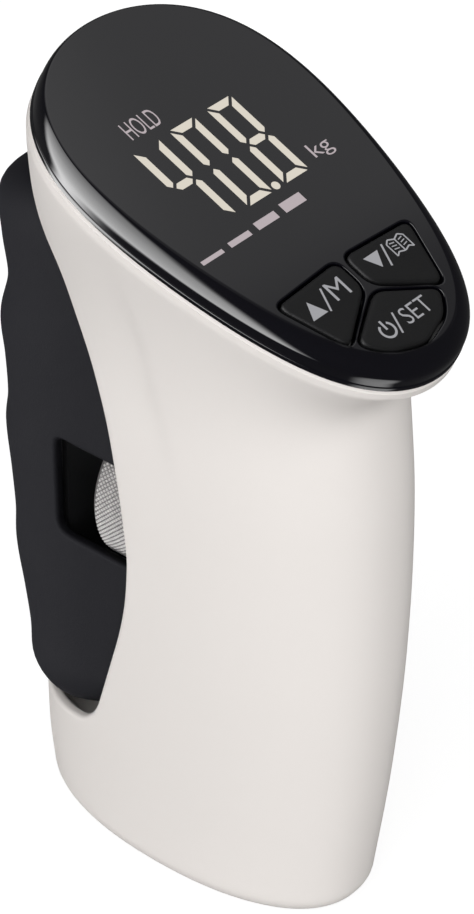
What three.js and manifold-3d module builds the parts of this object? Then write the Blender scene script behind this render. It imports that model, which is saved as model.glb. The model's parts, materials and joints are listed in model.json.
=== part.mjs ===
// Hand dynamometer: a grip-strength meter with an egg-shaped display head, a hollow white column
// for the palm, a sliding black finger grip, and a knurled wheel that sets the grip's reach.
// Millimetres. +Z is up, +Y points at the fingers, -Y at the palm, +X at the display's right.
// The origin is the middle of the flat foot that the object stands on.

import * as THREE from 'three';
import { mergeVertices } from 'three/addons/utils/BufferGeometryUtils.js';
import Module from 'manifold-3d';

const wasm = await Module();
wasm.setup();

// ---------------------------------------------------------------- driving dimensions

const WALL = 2.2;                   // moulded wall of the column
const FOOT_ROUNDING = 4.5;          // rounded edge between the column and its flat foot
const COLUMN_SQUARENESS = 2.2;      // 2 is an ellipse, more is squarer

// Smooth outlines of the column as [height, value] points.
const PALM_LINE = [[0, -32.5], [27, -36], [54, -38], [83, -38], [108, -35.6], [125, -34.5]];
const FINGER_LINE = [[0, 32.5], [15, 33.8], [60, 32.2], [105, 29.4], [131, 27.4], [150, 26.2]];
const HALF_WIDTH = [[0, 16.6], [27, 17.9], [60, 19.1], [83, 19.6], [105, 20], [132, 20.6]];

// The head is a plane tilted towards the user, with an egg outline.
const HEAD_HEIGHT = 131.8;
const HEAD_Y = -10.04;
const HEAD_TILT = THREE.MathUtils.degToRad(24);
const EGG_HALF_WIDTH = 24.4;
const EGG_HALF_LENGTH = 39.1;
const EGG_TAPER = 0.265;
const EGG_BULGE = 0.241;
const EGG_SHIFT = 0.068;
const LIP_TOP = 1.1;                // the shell's straight lip runs between these two depths
const LIP = 2.9;
const SIDE_FLARE = 30;              // depth below the lip over which each side widens
const PALM_FLARE = 11;
const FINGER_FLARE = 36;
const FINGER_FULLNESS = 2;          // how much fuller the finger side stays just under the lip
const LEVEL_BELOW = 20;             // rings are level below this height and tilt above it

// The opening for the grip, cut straight across: the cheek's edge as [height, y], up from the
// cusp, and the toe's edge as [y, height], out from under the grip.
const CHEEK_LINE = [
  [27.2, 13.2], [31.3, 11.1], [36, 9.4], [43.5, 6.9], [51.4, 4.4], [58.7, 2.7], [65.4, 1.9], [69.6, 1.75],
  [74.7, 2.2], [82.8, 3.2], [94.1, 5.2], [102.5, 7.7], [111.8, 11], [120.3, 13.9], [126, 17.8], [130.3, 20.3],
];
const TOE_LINE = [[6, 31.4], [13.2, 27.2], [15.2, 25.9], [19.1, 24.4], [23, 23.4], [28, 22.6], [34, 22]];
const CHEEK_STEPS = 26;
const TOE_STEPS = 8;
const OPENING_TOP = { y: 30, z: 131.5 };
const CHANNEL_HALF_WIDTH = 16;
const CHANNEL_REAR_Y = 9;
const CHANNEL_DROP = 3.3;           // the toe's scoop lies this far below its side edges
const CHANNEL_TOP = 130.2;
const CHANNEL_END_Y = 25;           // the scoop rises from here to a lip at the finger end
const CHANNEL_LIP_Y = 31.5;
const CHANNEL_LIP_DROP = 1.3;
const TOE_WALL_REAR_Y = 6;
const FAR = 50;                     // beyond the object on any side of a cutter

// Ribs and screw bosses moulded inside the shell
const RIB_HALF_T = 1.3;
const RIB_TOP = 11.5;
const FOOT_BOSS_R = 3.4;
const FRAME_BOSS_R = 3.2;
const THREAD_R = 1.6;               // clearance drawn round the thread of a housing screw
const FOOT_PILOT_TOP = 10;
const FRAME_PILOT_Y = -29;

// Foot cover
const FOOT_OPENING_X = 11.6;
const FOOT_OPENING_Y = 27.5;
const FOOT_GAP = 0.3;
const FOOT_COVER_T = 2;
const FOOT_SCREWS = { front: 22, rear: -23.3 };

// Display cover, in the head's own plane
const COVER_BOTTOM = -0.8;
const COVER_TOP = 4.05;
const COVER_SKIN = 1.4;
const COVER_UNDER = COVER_TOP - COVER_SKIN;
const COVER_FIT = 0.4;              // gap between the cover's skirt and the shell's lip
const SKIRT_T = 0.9;
const SKIRT_BOTTOM = -2.4;
// The cover's upright side and rolled edge as [height, share of the roll's width].
const COVER_RIM = [[-0.8, 0], [1.19, 0], [2.2, 0.06], [3.05, 0.24], [3.65, 0.5], [3.95, 0.75], [4.05, 1]];
const ROLL_WIDTH = 2.06;            // at the two sides of the head
const ROLL_WIDENING = 1.43;         // wider by this at the palm end, narrower at the finger end
const PANEL_X = -1.03;              // the keys and display sit off the egg's middle by this much
const PANEL_Y = -0.39;
const KEY_GAP = 0.45;
const KEY_TRAVEL = 0.6;
const KEY_TOP = 4.3;
const KEY_CROWN = 0.35;             // width and height of the bevel round a key's top
const KEY_CORNER = 1.3;
const KEY_FLANGE = 0.6;
const KEY_FLANGE_SPAN = [COVER_UNDER - 1, COVER_UNDER - 0.3];
const FLANGE_POCKET_SPAN = [SKIRT_BOTTOM - 1, COVER_UNDER];
const KEY_STEM_R = 1.4;
const KEY_STEM_BOTTOM = -0.4;
const WELL_SPAN = [0, 6];
const BOARD_TOP = -3.8;
const BOARD_T = 1.6;
const BOARD_INSET = 6;
const BOARD_PILLARS = [[-13.5, 28.5], [13.5, 28.5], [-15.5, -11.5], [15.5, -11.5]];
const PILLAR_R = 2.1;
const PILLAR_PILOT_R = 1;
const PILLAR_PILOT_TOP = 0.6;
const BOARD_HOLE_R = 1.3;
const LED_LOW = [-18.2, -7.6, BOARD_TOP + 0.1];
const LED_HIGH = [16.4, 21, 2.35];
const SWITCH_HALF = 2.2;
const SWITCH_PLUNGER_R = 1.2;
const SWITCH_PLUNGER = 0.7;
const SWITCH_PLAY = 0.25;           // between the plunger and the pressed key's stem

// Key outlines: the down key mirrors the up key, and the power key mirrors itself.
const SIDE_KEY = [[-15.7, -16.9], [-0.95, -16.1], [-0.95, -22.05], [-11.4, -28.35]];
const POWER_KEY = [[0, -23.3], [9.9, -28.8], [6.6, -32.6], [0, -34.6], [-6.6, -32.6], [-9.9, -28.8]];
const KEY_CENTRES = { up: [-7.2, -20.8], down: [7.2, -20.8], power: [0, -28.8] };

// Finger grip
const GRIP_HALF_WIDTH = 15.3;
const GRIP_WALL = 2;
const GRIP_REAR_Y = -4.2;
const GRIP_SHOULDER_Y = 14;         // the sides are flat behind this, and round off in front of it
const GRIP_BOTTOM = 24.6;           // height of the bottom edge under GRIP_PIVOT_Y
const GRIP_PIVOT_Y = 22;
const GRIP_SLOPE = -0.473;          // of the bottom edge, down towards the fingers
const GRIP_TOP = 126.8;
const GRIP_ROUND = 8;
const GRIP_SLANT_END = 50;          // rings are level above this height
const GRIP_TOP_SLANT = 112;         // and tilt with the head above this one
const GRIP_TOP_SLOPE = 0.3;
const GRIP_TOP_PIVOT_Y = 24;
const GRIP_FLOOR_REAR_Y = 0.4;      // the floor stops short of the sides, clear of the batteries
// The ridge along the fingers, with four finger grooves: [height, y].
const GRIP_RIDGE = [
  [15, 33.6], [24, 36], [29, 37.1], [35, 37.2], [42, 38.4], [50, 40.1], [57, 39.9], [65, 40.5], [74, 41.4],
  [80, 40.5], [88, 40.8], [95, 41.5], [104, 39], [112, 40.1], [119, 40.4], [126, 36.8], [134, 32.8],
];
const WINDOW_Y = 20.4;
const WINDOW_Z = [63.1, 82.3];
const WINDOW_ROUND = 2.4;

// Adjusting screw line
const AXIS_Z = 71;
const WHEEL_R = 15;
const WHEEL_Y = [2, 12.8];
const WHEEL_CHAMFER = 0.7;
const HUB_R = 5.6;
const HUB_END_Y = -10.2;
const SCREW_R = 3;
const SCREW_Y = [-1, 29];
const SCREW_PLAY = 0.25;
const CIRCLIP_Y = -9;
const CIRCLIP_T = 0.7;
const CIRCLIP_WIDTH = 1.55;
const CIRCLIP_BITE = 0.55;          // how deep it sits in the hub
const CIRCLIP_GAP = 0.35;           // half of its opening, in radians
const GROOVE_DEPTH = 0.7;
const WASHER_R = 9.5;
const WASHER_Y = [0.6, 1.7];

// Guide rods: [x, z] of each one
const RODS = { upper: [0, 110], left: [-10, 57], right: [10, 57] };
const ROD_R = 1.75;
const ROD_Y = [-20.4, 23.4];
const BUSH_R = 2.6;
const RUNNING_PLAY = 0.15;
const BUSH_FLANGE = 0.9;            // how much wider the bush's flange is, on the radius
const BUSH_FLANGE_T = 0.6;

// Inner frame and load cell
const FRAME_Y = [-21.6, -19.2];
const FRAME_Z = [50.5, 117];
const FRAME_HALF_WIDTH = 13.8;
const BOSS_R = 3.5;
const BUSH_FRONT_Y = -12.2;
const CELL_HALF_WIDTH = 6.35;
const CELL_Y = [-17.9, -11.6];
const CELL_Z = [50.5, 103];
const CELL_FIXED_Z = [93.5, 99.5];
const CELL_FREE_Z = [53.8, 59.3];
const CELL_HOLES_Z = [69, 84];
const CELL_HOLE_R = 2.3;
const CELL_LINK_HALF = 0.6;         // half the width of the slot that links the two holes
const PAD_HALF_WIDTH = 7;
const PAD_Z = 90;
const BLOCK_RECESS_R = 6.9;
const BLOCK_THREAD_Y = -3;
const BLOCK_Y = [-11.2, 0.3];
const BLOCK_Z = [50.5, 84];
const BLOCK_HALF_WIDTH = 7.5;
const FRAME_SCREWS = [[-10.5, 66.5], [10.5, 66.5], [-10.5, 98], [10.5, 98]];

// Plate inside the grip that holds the rods and the screw
const CORE_Y = [20.6, 23.8];
const CORE_Z = [45, 117];
const CORE_HALF_WIDTH = 11.8;
const CORE_SCREWS = [[-8, 49], [8, 49], [-8, 104], [8, 104]];
const CORE_BOSS_R = 3.2;
const CORE_BOSS_END_Y = 36;
const CORE_PILOT_R = 1.5;
const CORE_PILOT_END_Y = 30;
const NUT_BOSS_R = 6.2;

// Two AAA cells standing side by side
const BATTERY_R = 5.05;
const BATTERY_X = 5.15;
const BATTERY_Y = -13.4;
const BATTERY_Z = [3.6, 47.2];
const NUB_R = 1.9;
const NUB_HEIGHT = 0.9;
const CRIMP = 0.4;                  // step at the foot of a cell's can
const HOLDER_HALF = [11.2, 6.1];
const HOLDER_BOTTOM = 3;
const HOLDER_TOP = 50;
const HOLDER_CAP = 1.2;
const CONTACT_HALF = [3.4, 3.4];
const CONTACT_Z = [HOLDER_TOP - 1.7, HOLDER_TOP - 1.35];
const BRIDGE_HALF = [8.5, 3];
const BRIDGE_Z = [FOOT_COVER_T + 0.1, FOOT_COVER_T + 0.45];

// Points that the two cables run through, and their radii
const BATTERY_LEAD = [
  [4, -21, 40], [4, -24, 50], [4, -27, 62], [4, -27.5, 90], [5, -27, 106], [8, -25.5, 117],
];
const BATTERY_LEAD_R = 0.9;
const CELL_LEAD = [[-7.3, -15, 87], [-8.6, -14.6, 97], [-9, -13.5, 106], [-9.6, -15, 114], [-10, -19, 120]];
const CELL_LEAD_R = 0.8;

const ROUND = 20;                   // facets of a round piece
const SMALL_ROUND = 10;             // facets of a small hole or shank

const FINISH = {
  white: { color: 0xe6e0db, roughness: 0.45, metalness: 0 },
  black: { color: 0x28292b, roughness: 0.75, metalness: 0 },
  gloss: { color: 0x0c0c0e, roughness: 0.08, metalness: 0 },
  key: { color: 0x232325, roughness: 0.6, metalness: 0 },
  frame: { color: 0x55585c, roughness: 0.6, metalness: 0.1 },
  steel: { color: 0xb9bcc0, roughness: 0.3, metalness: 1 },
  zinc: { color: 0x9c9fa3, roughness: 0.4, metalness: 1 },
  aluminium: { color: 0xc4c7ca, roughness: 0.35, metalness: 1 },
  bronze: { color: 0xa9804a, roughness: 0.4, metalness: 1 },
  board: { color: 0x1d5a36, roughness: 0.5, metalness: 0 },
  battery: { color: 0x2f4d7c, roughness: 0.4, metalness: 0.2 },
  cable: { color: 0x7b1d1d, roughness: 0.6, metalness: 0 },
};

// ---------------------------------------------------------------- geometry helpers

// A smooth curve through [position, value] points, read at any position.
function profile(points) {
  const last = points.length - 1;
  const slopes = points.map((_, i) => {
    const before = points[Math.max(i - 1, 0)];
    const after = points[Math.min(i + 1, last)];
    return (after[1] - before[1]) / (after[0] - before[0]);
  });
  return (position) => {
    const at = THREE.MathUtils.clamp(position, points[0][0], points[last][0]);
    let i = 0;
    while (i < last - 1 && at > points[i + 1][0]) i += 1;
    const span = points[i + 1][0] - points[i][0];
    const t = (at - points[i][0]) / span;
    const rise = points[i + 1][1] - points[i][1];
    const bend = (1 - t) * (slopes[i] * span - rise) - t * (slopes[i + 1] * span - rise);
    return points[i][1] + t * rise + t * (1 - t) * bend;
  };
}

// How far a rounded edge of radius r has pulled in at a distance from its end.
function roundedInset(distance, r) {
  const left = Math.max(r - distance, 0);
  return r - Math.sqrt(r * r - left * left);
}

// A closed solid through a stack of rings that run counter-clockwise seen from above.
function loft(rings) {
  const count = rings[0].length;
  const points = rings.flat();
  const bottom = points.length;
  points.push(centreOf(rings[0]), centreOf(rings[rings.length - 1]));
  const faces = [];
  const top = (rings.length - 1) * count;
  for (let i = 0; i < count; i += 1) {
    const j = (i + 1) % count;
    for (let row = 0; row < top; row += count) {
      faces.push(row + i, row + j, row + count + j);
      faces.push(row + i, row + count + j, row + count + i);
    }
    faces.push(bottom, j, i);
    faces.push(bottom + 1, top + i, top + j);
  }
  const geometry = new THREE.BufferGeometry().setFromPoints(points);
  geometry.setIndex(faces);
  return geometry;
}

function centreOf(ring) {
  return ring.reduce((sum, p) => sum.add(p), new THREE.Vector3()).divideScalar(ring.length);
}

// A geometry as a solid that can be joined and cut.
function solid(geometry) {
  const bare = geometry.clone();
  bare.deleteAttribute('normal');
  bare.deleteAttribute('uv');
  const merged = mergeVertices(bare, 1e-5);
  return new wasm.Manifold(new wasm.Mesh({
    numProp: 3,
    vertProperties: new Float32Array(merged.attributes.position.array),
    triVerts: new Uint32Array(merged.index.array),
  }));
}

// A solid back as a geometry.
function shape(body) {
  const mesh = body.getMesh();
  const geometry = new THREE.BufferGeometry();
  geometry.setAttribute('position', new THREE.BufferAttribute(mesh.vertProperties, 3));
  geometry.setIndex(new THREE.BufferAttribute(mesh.triVerts, 1));
  return geometry;
}

function cut(body, ...tools) {
  return tools.reduce((left, tool) => left.subtract(tool), body);
}

function join(...bodies) {
  return bodies.reduce((sum, body) => sum.add(body));
}

function boxSolid(low, high) {
  const size = [high[0] - low[0], high[1] - low[1], high[2] - low[2]];
  const geometry = new THREE.BoxGeometry(...size);
  geometry.translate(low[0] + size[0] / 2, low[1] + size[1] / 2, low[2] + size[2] / 2);
  return solid(geometry);
}

// A round bar along +Y between two places on that axis, centred on [x, z].
function barAlongY([x, z], r, [from, to], facets = ROUND) {
  const geometry = new THREE.CylinderGeometry(r, r, to - from, facets);
  geometry.translate(x, (from + to) / 2, z);
  return solid(geometry);
}

// A round bar along +Z between two heights, centred on [x, y].
function barAlongZ([x, y], r, [from, to], facets = ROUND) {
  const geometry = new THREE.CylinderGeometry(r, r, to - from, facets);
  geometry.rotateX(Math.PI / 2);
  geometry.translate(x, y, (from + to) / 2);
  return solid(geometry);
}

// A solid turned about the Y axis through AXIS_Z from a closed outline of [radius, y] points.
function turned(outline, facets = ROUND) {
  const closed = [...outline, outline[0]].map(([r, y]) => new THREE.Vector2(r, y));
  const geometry = new THREE.LatheGeometry(closed, facets);
  geometry.translate(0, 0, AXIS_Z);
  return outward(solid(geometry));
}

// Stops on a lathe outline drawn the other way round, which comes out inside out.
function outward(body) {
  if (body.volume() > 0) return body;
  throw new Error('an outline runs the wrong way round');
}

// A side-view outline (y, z) extruded across the object.
function across(outline, halfWidth) {
  const geometry = new THREE.ExtrudeGeometry(outline, {
    depth: 2 * halfWidth, bevelEnabled: false, curveSegments: 14,
  });
  const y = new THREE.Vector3(0, 1, 0);
  const z = new THREE.Vector3(0, 0, 1);
  const x = new THREE.Vector3(1, 0, 0);
  geometry.applyMatrix4(new THREE.Matrix4().makeBasis(y, z, x));
  geometry.translate(-halfWidth, 0, 0);
  return solid(geometry);
}

// Evenly spaced values from one number to another, both included.
function spaced(from, to, count) {
  return Array.from({ length: count + 1 }, (_, i) => THREE.MathUtils.lerp(from, to, i / count));
}

function polygon(points) {
  return new THREE.Shape(points.map(([a, b]) => new THREE.Vector2(a, b)));
}

// A closed outline through corner points, each rounded by the given radius.
function roundedPolygon(points, radius) {
  const outline = new THREE.Shape();
  const corners = points.map(([a, b]) => new THREE.Vector2(a, b));
  corners.forEach((corner, i) => {
    const before = corners[(i + corners.length - 1) % corners.length];
    const after = corners[(i + 1) % corners.length];
    const enter = corner.clone().add(before.clone().sub(corner).setLength(radius));
    const leave = corner.clone().add(after.clone().sub(corner).setLength(radius));
    if (i === 0) outline.moveTo(enter.x, enter.y);
    else outline.lineTo(enter.x, enter.y);
    outline.quadraticCurveTo(corner.x, corner.y, leave.x, leave.y);
  });
  outline.closePath();
  return outline;
}

// The same corner points moved outwards by a distance (points run clockwise).
function grown(points, distance) {
  return points.map(([x, y], i) => {
    const [px, py] = points[(i + points.length - 1) % points.length];
    const [nx, ny] = points[(i + 1) % points.length];
    const inEdge = new THREE.Vector2(x - px, y - py).normalize();
    const outEdge = new THREE.Vector2(nx - x, ny - y).normalize();
    const side = new THREE.Vector2(-inEdge.y - outEdge.y, inEdge.x + outEdge.x).normalize();
    const spread = side.dot(new THREE.Vector2(-inEdge.y, inEdge.x));
    return [x + (side.x * distance) / spread, y + (side.y * distance) / spread];
  });
}

// A flat outline extruded upwards between two heights.
function plate(outline, [from, to]) {
  const geometry = new THREE.ExtrudeGeometry(outline, {
    depth: to - from, bevelEnabled: false, curveSegments: 3,
  });
  geometry.translate(0, 0, from);
  return solid(geometry);
}

// A round cable along a smooth path.
function cable(points, r) {
  const path = new THREE.CatmullRomCurve3(points.map((p) => new THREE.Vector3(...p)));
  const section = new THREE.Shape().absarc(0, 0, r, 0, Math.PI * 2);
  return new THREE.ExtrudeGeometry(section, { steps: 16, extrudePath: path, curveSegments: 2 });
}

const meshes = new Map();
const root = new THREE.Group();
const head = new THREE.Group();
head.position.set(0, HEAD_Y, HEAD_HEIGHT);
head.rotation.x = HEAD_TILT;
root.add(head);

// Adds one named piece. A geometry goes in as it is, and a solid is turned into one.
function piece(name, body, finish, parent = root) {
  const geometry = body.isBufferGeometry ? body : shape(body);
  const mesh = new THREE.Mesh(geometry, new THREE.MeshStandardMaterial(FINISH[finish]));
  mesh.name = name;
  parent.add(mesh);
  meshes.set(name, mesh);
  return mesh;
}

// ---------------------------------------------------------------- column and head surfaces

const palmY = profile(PALM_LINE);
const fingerY = profile(FINGER_LINE);
const halfWidth = profile(HALF_WIDTH);

// Sign-preserving power, which squares off an ellipse.
function squared(value) {
  return Math.sign(value) * Math.abs(value) ** (2 / COLUMN_SQUARENESS);
}

function columnPoint(angle, z, inset) {
  const middle = (palmY(z) + fingerY(z)) / 2;
  const reach = (fingerY(z) - palmY(z)) / 2 - inset;
  const x = (halfWidth(z) - inset) * squared(Math.cos(angle));
  return new THREE.Vector3(x, middle + reach * squared(Math.sin(angle)), z);
}

// The egg outline in the head's plane.
function eggPoint(angle, inset) {
  const s = Math.sin(angle);
  const x = (EGG_HALF_WIDTH - inset) * Math.cos(angle) * (1 + EGG_TAPER * s + EGG_BULGE * s * s);
  const y = (EGG_HALF_LENGTH - inset) * (s - EGG_SHIFT * (1 - s * s));
  return new THREE.Vector2(x, y);
}

// A point of the egg outline in space, below the head's plane by a depth.
function lipPoint(angle, inset, depth) {
  const { x, y } = eggPoint(angle, inset);
  const s = Math.sin(HEAD_TILT);
  const c = Math.cos(HEAD_TILT);
  return new THREE.Vector3(x, HEAD_Y + y * c + depth * s, HEAD_HEIGHT + y * s - depth * c);
}

// A point of the shell: the column, pulled out to the lip near the top.
function shellPoint(angle, level, inset) {
  const lip = lipPoint(angle, inset, LIP);
  const rise = (level - LEVEL_BELOW) / (HEAD_HEIGHT - LEVEL_BELOW);
  const z = level < LEVEL_BELOW ? level : LEVEL_BELOW + rise * (lip.z - LEVEL_BELOW);
  const palmSide = Math.max(-Math.sin(angle), 0);
  const fingerSide = Math.max(Math.sin(angle), 0);
  const palmDepth = THREE.MathUtils.lerp(SIDE_FLARE, PALM_FLARE, palmSide ** 2);
  const depth = palmDepth + (FINGER_FLARE - SIDE_FLARE) * fingerSide;
  const near = Math.max(1 - (lip.z - z) / depth, 0);
  const pull = near ** (2 + palmSide) * (1 + FINGER_FULLNESS * fingerSide * (1 - near));
  const foot = roundedInset(z, FOOT_ROUNDING);
  const point = columnPoint(angle, z, inset + foot);
  return point.add(lip.sub(columnPoint(angle, lip.z, inset)).multiplyScalar(pull));
}

const RING_POINTS = 36;

function ring(pointAt, count = RING_POINTS) {
  return Array.from({ length: count }, (_, i) => pointAt((i / count) * Math.PI * 2));
}

function shellSolid(inset, levels) {
  const rings = levels.map((level) => ring((angle) => shellPoint(angle, level, inset)));
  const end = inset ? LIP_TOP - 1 : LIP_TOP;
  rings.push(ring((angle) => lipPoint(angle, inset, end)));
  return solid(loft(rings));
}

// Levels of the rings that the shell's outside and its hollow are drawn through.
const OUTER_LEVELS = [0, 0.6, 2, 4.5, 20, 48, 76, 95, 106, 113, 119, 124, 128, 131.8];
const INNER_LEVELS = [FOOT_COVER_T + 0.3, 5.5, 20, 48, 76, 98, 112, 120, 126, 131.8];

// ---------------------------------------------------------------- main shell

const cheekY = profile(CHEEK_LINE);
const toeZ = profile(TOE_LINE);

function crescentOutline() {
  const [cuspZ, cuspY] = CHEEK_LINE[0];
  const cheekTop = CHEEK_LINE[CHEEK_LINE.length - 1][0];
  const toeEnd = TOE_LINE[TOE_LINE.length - 1];
  const cheek = spaced(cheekTop, cuspZ, CHEEK_STEPS).map((z) => [cheekY(z), z]);
  const toe = spaced(cuspY, toeEnd[0], TOE_STEPS).slice(1).map((y) => [y, toeZ(y)]);
  return polygon([
    [FAR, OPENING_TOP.z], [OPENING_TOP.y, OPENING_TOP.z], ...cheek, ...toe, [FAR, toeEnd[1]],
  ]);
}

// The channel that the grip slides in, with a scoop in the toe as its floor.
function gripChannel() {
  const scoop = spaced(CHANNEL_REAR_Y, CHANNEL_END_Y, TOE_STEPS).map((y) => [y, toeZ(y) - CHANNEL_DROP]);
  return across(polygon([
    ...scoop, [CHANNEL_LIP_Y, toeZ(CHANNEL_LIP_Y) - CHANNEL_LIP_DROP], [FAR, toeZ(FAR) - CHANNEL_LIP_DROP],
    [FAR, CHANNEL_TOP], [CHANNEL_REAR_Y, CHANNEL_TOP],
  ]), CHANNEL_HALF_WIDTH);
}

// The wall left standing under that scoop.
function toeWall() {
  const floor = spaced(TOE_WALL_REAR_Y, FAR, TOE_STEPS).map((y) => [y, toeZ(y) - CHANNEL_DROP]);
  const under = floor.map(([y, z]) => [y, z - WALL]).reverse();
  return across(polygon([...floor, ...under]), FAR);
}

// Two cross-ribs in the foot, each with a boss for a cover screw.
function footRib(y) {
  const z = [FOOT_COVER_T + 0.4, RIB_TOP];
  const rib = boxSolid([-FAR, y - RIB_HALF_T, z[0]], [FAR, y + RIB_HALF_T, z[1]]);
  return join(rib, barAlongZ([0, y], FOOT_BOSS_R, z));
}

// The rim of the opening in the foot, or a smaller outline inside it.
function footOutline(inset) {
  const points = Array.from({ length: 32 }, (_, i) => {
    const angle = (i / 32) * Math.PI * 2;
    const x = (FOOT_OPENING_X - inset) * squared(Math.cos(angle));
    return [x, (FOOT_OPENING_Y - inset) * squared(Math.sin(angle))];
  });
  return polygon(points);
}

function mainShell() {
  const outer = shellSolid(0, OUTER_LEVELS);
  const hollow = shellSolid(WALL, INNER_LEVELS).subtract(toeWall());
  const opening = plate(footOutline(0), [-1, 2 * WALL]);
  const bosses = FRAME_SCREWS.map((at) => (
    barAlongY(at, FRAME_BOSS_R, [-FAR, FRAME_Y[0] - 0.3], SMALL_ROUND)
  ));
  const ribs = Object.values(FOOT_SCREWS).map(footRib);
  const inside = join(...bosses, ...ribs).intersect(outer);
  const pilots = [
    ...FRAME_SCREWS.map((at) => barAlongY(at, THREAD_R, [FRAME_PILOT_Y, FRAME_Y[0]], SMALL_ROUND)),
    ...Object.values(FOOT_SCREWS).map((y) => (
      barAlongZ([0, y], THREAD_R, [-1, FOOT_PILOT_TOP], SMALL_ROUND)
    )),
  ];
  const open = cut(outer, hollow, opening);
  return cut(join(open, inside), ...pilots, across(crescentOutline(), FAR), gripChannel());
}

piece('main_shell', mainShell(), 'white');

// ---------------------------------------------------------------- foot cover and screws

const SCREW_CROWN = 0.2;            // rounded part of a screw's head
const SCREW_POINT = 1;
const SLOT_WIDTH = 0.8;
const SLOT_DEPTH = 0.5;

// A pan-head screw along Y, with the underside of its head at the origin and its tip towards -Y.
function screwGeometry(headR, headT, shankR, length) {
  const top = headT + SCREW_CROWN;
  const head = [[0, 0], [headR, 0], [headR, headT], [headR * 0.8, top], [0, top]];
  const shank = [[0, -length], [shankR, SCREW_POINT - length], [shankR, 0.1], [0, 0.1]];
  const [cap, thread] = [head, shank].map((outline, i) => (
    solid(new THREE.LatheGeometry(outline.map(([r, h]) => new THREE.Vector2(r, h)), i ? 8 : 12))
  ));
  const slot = new THREE.BoxGeometry(headR * 1.2, SLOT_WIDTH, SLOT_DEPTH);
  slot.translate(0, top, 0);
  return shape(cut(join(cap, thread), solid(slot)));
}

// Puts a screw's head at a point, turned about X to its own axis.
function screw(name, [x, y, z], turn, size, parent = root) {
  const mesh = piece(name, screwGeometry(...size), 'zinc', parent);
  mesh.position.set(x, y, z);
  mesh.rotation.x = turn;
  return mesh;
}

// Screw sizes as [head radius, head height, thread radius, thread length].
const FOOT_SCREW = [2.5, 0.6, 1.25, 8.5];
const BOARD_SCREW = [1.9, 0.8, 0.8, 5.4];
const GRIP_SCREW = [2.6, 1.2, 1.2, 9];
const FRAME_SCREW = [2.6, 1.2, 1.25, 9];
const CELL_FIXED_SCREW = [2.7, 1.4, 1.4, 8.6];
const CELL_FREE_SCREW = [2.4, 0.9, 1.4, 13];
const SINK_R = 2.9;                 // the foot screws' heads sit in counterbores
const SINK_DEPTH = 1.2;

function footCover() {
  const body = plate(footOutline(FOOT_GAP), [0, FOOT_COVER_T]);
  const holes = Object.values(FOOT_SCREWS).flatMap((y) => [
    barAlongZ([0, y], THREAD_R + 0.1, [-1, FOOT_COVER_T + 1], SMALL_ROUND),
    barAlongZ([0, y], SINK_R, [-1, SINK_DEPTH], ROUND),
  ]);
  return cut(body, ...holes);
}

piece('foot_cover', footCover(), 'white');
for (const [name, y] of Object.entries(FOOT_SCREWS)) {
  screw(`foot_screw_${name}`, [0, y, SINK_DEPTH - 0.15], -Math.PI / 2, FOOT_SCREW);
}

// ---------------------------------------------------------------- display head

function eggRing(height, inset) {
  return ring((angle) => {
    const { x, y } = eggPoint(angle, inset);
    return new THREE.Vector3(x, y, height);
  });
}

function eggPlate(inset, [from, to]) {
  return solid(loft([eggRing(from, inset), eggRing(to, inset)]));
}

function mirrored(points) {
  return points.map(([x, y]) => [-x, y]).reverse();
}

const KEYS = {
  key_up: SIDE_KEY,
  key_down: mirrored(SIDE_KEY),
  key_power: POWER_KEY,
};

// The keys, the digits' module and the switches share a panel set a little off the egg's middle.
const panel = new THREE.Group();
panel.position.set(PANEL_X, PANEL_Y, 0);
head.add(panel);

function keyPlate(points, growth, span) {
  return plate(roundedPolygon(grown(points, growth), KEY_CORNER + growth), span);
}

// Width of the cover's rolled edge at an angle round the egg.
function rollWidth(angle) {
  return ROLL_WIDTH - ROLL_WIDENING * Math.sin(angle);
}

function coverRing(height, share) {
  return ring((angle) => {
    const { x, y } = eggPoint(angle, share * rollWidth(angle));
    return new THREE.Vector3(x, y, height);
  });
}

function displayCover() {
  const inset = WALL + COVER_FIT;
  const crown = solid(loft(COVER_RIM.map(([height, share]) => coverRing(height, share))));
  const pocket = eggPlate(inset, [COVER_BOTTOM - 1, COVER_UNDER]);
  const skirt = cut(
    eggPlate(inset, [SKIRT_BOTTOM, COVER_UNDER + 0.1]),
    eggPlate(inset + SKIRT_T, [SKIRT_BOTTOM - 1, COVER_UNDER]),
  );
  const pillars = BOARD_PILLARS.map((at) => (
    barAlongZ(at, PILLAR_R, [BOARD_TOP + 0.2, COVER_UNDER + 0.1], SMALL_ROUND)
  ));
  const pilots = BOARD_PILLARS.map((at) => (
    barAlongZ(at, PILLAR_PILOT_R, [BOARD_TOP, PILLAR_PILOT_TOP], SMALL_ROUND)
  ));
  const wells = Object.values(KEYS).map((points) => (
    join(keyPlate(points, KEY_GAP, WELL_SPAN), keyPlate(points, KEY_FLANGE + KEY_GAP, FLANGE_POCKET_SPAN))
      .translate([PANEL_X, PANEL_Y, 0])
  ));
  return cut(join(cut(crown, pocket), skirt, ...pillars), ...pilots, ...wells);
}

function keyBody(points, centre) {
  return join(
    keyPlate(points, 0, [COVER_UNDER - 0.5, KEY_TOP - KEY_CROWN + 0.05]),
    keyPlate(points, -KEY_CROWN, [KEY_TOP - KEY_CROWN, KEY_TOP]),
    keyPlate(points, KEY_FLANGE, KEY_FLANGE_SPAN),
    barAlongZ(centre, KEY_STEM_R, [KEY_STEM_BOTTOM, COVER_UNDER], SMALL_ROUND),
  );
}

piece('display_cover', displayCover(), 'gloss', head);
for (const [name, points] of Object.entries(KEYS)) {
  piece(name, keyBody(points, KEY_CENTRES[name.slice('key_'.length)]), 'key', panel);
}

function mainBoard() {
  const holes = BOARD_PILLARS.map((at) => (
    barAlongZ(at, BOARD_HOLE_R, [2 * BOARD_TOP, 0], SMALL_ROUND)
  ));
  return cut(eggPlate(BOARD_INSET, [BOARD_TOP - BOARD_T, BOARD_TOP]), ...holes);
}

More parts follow.
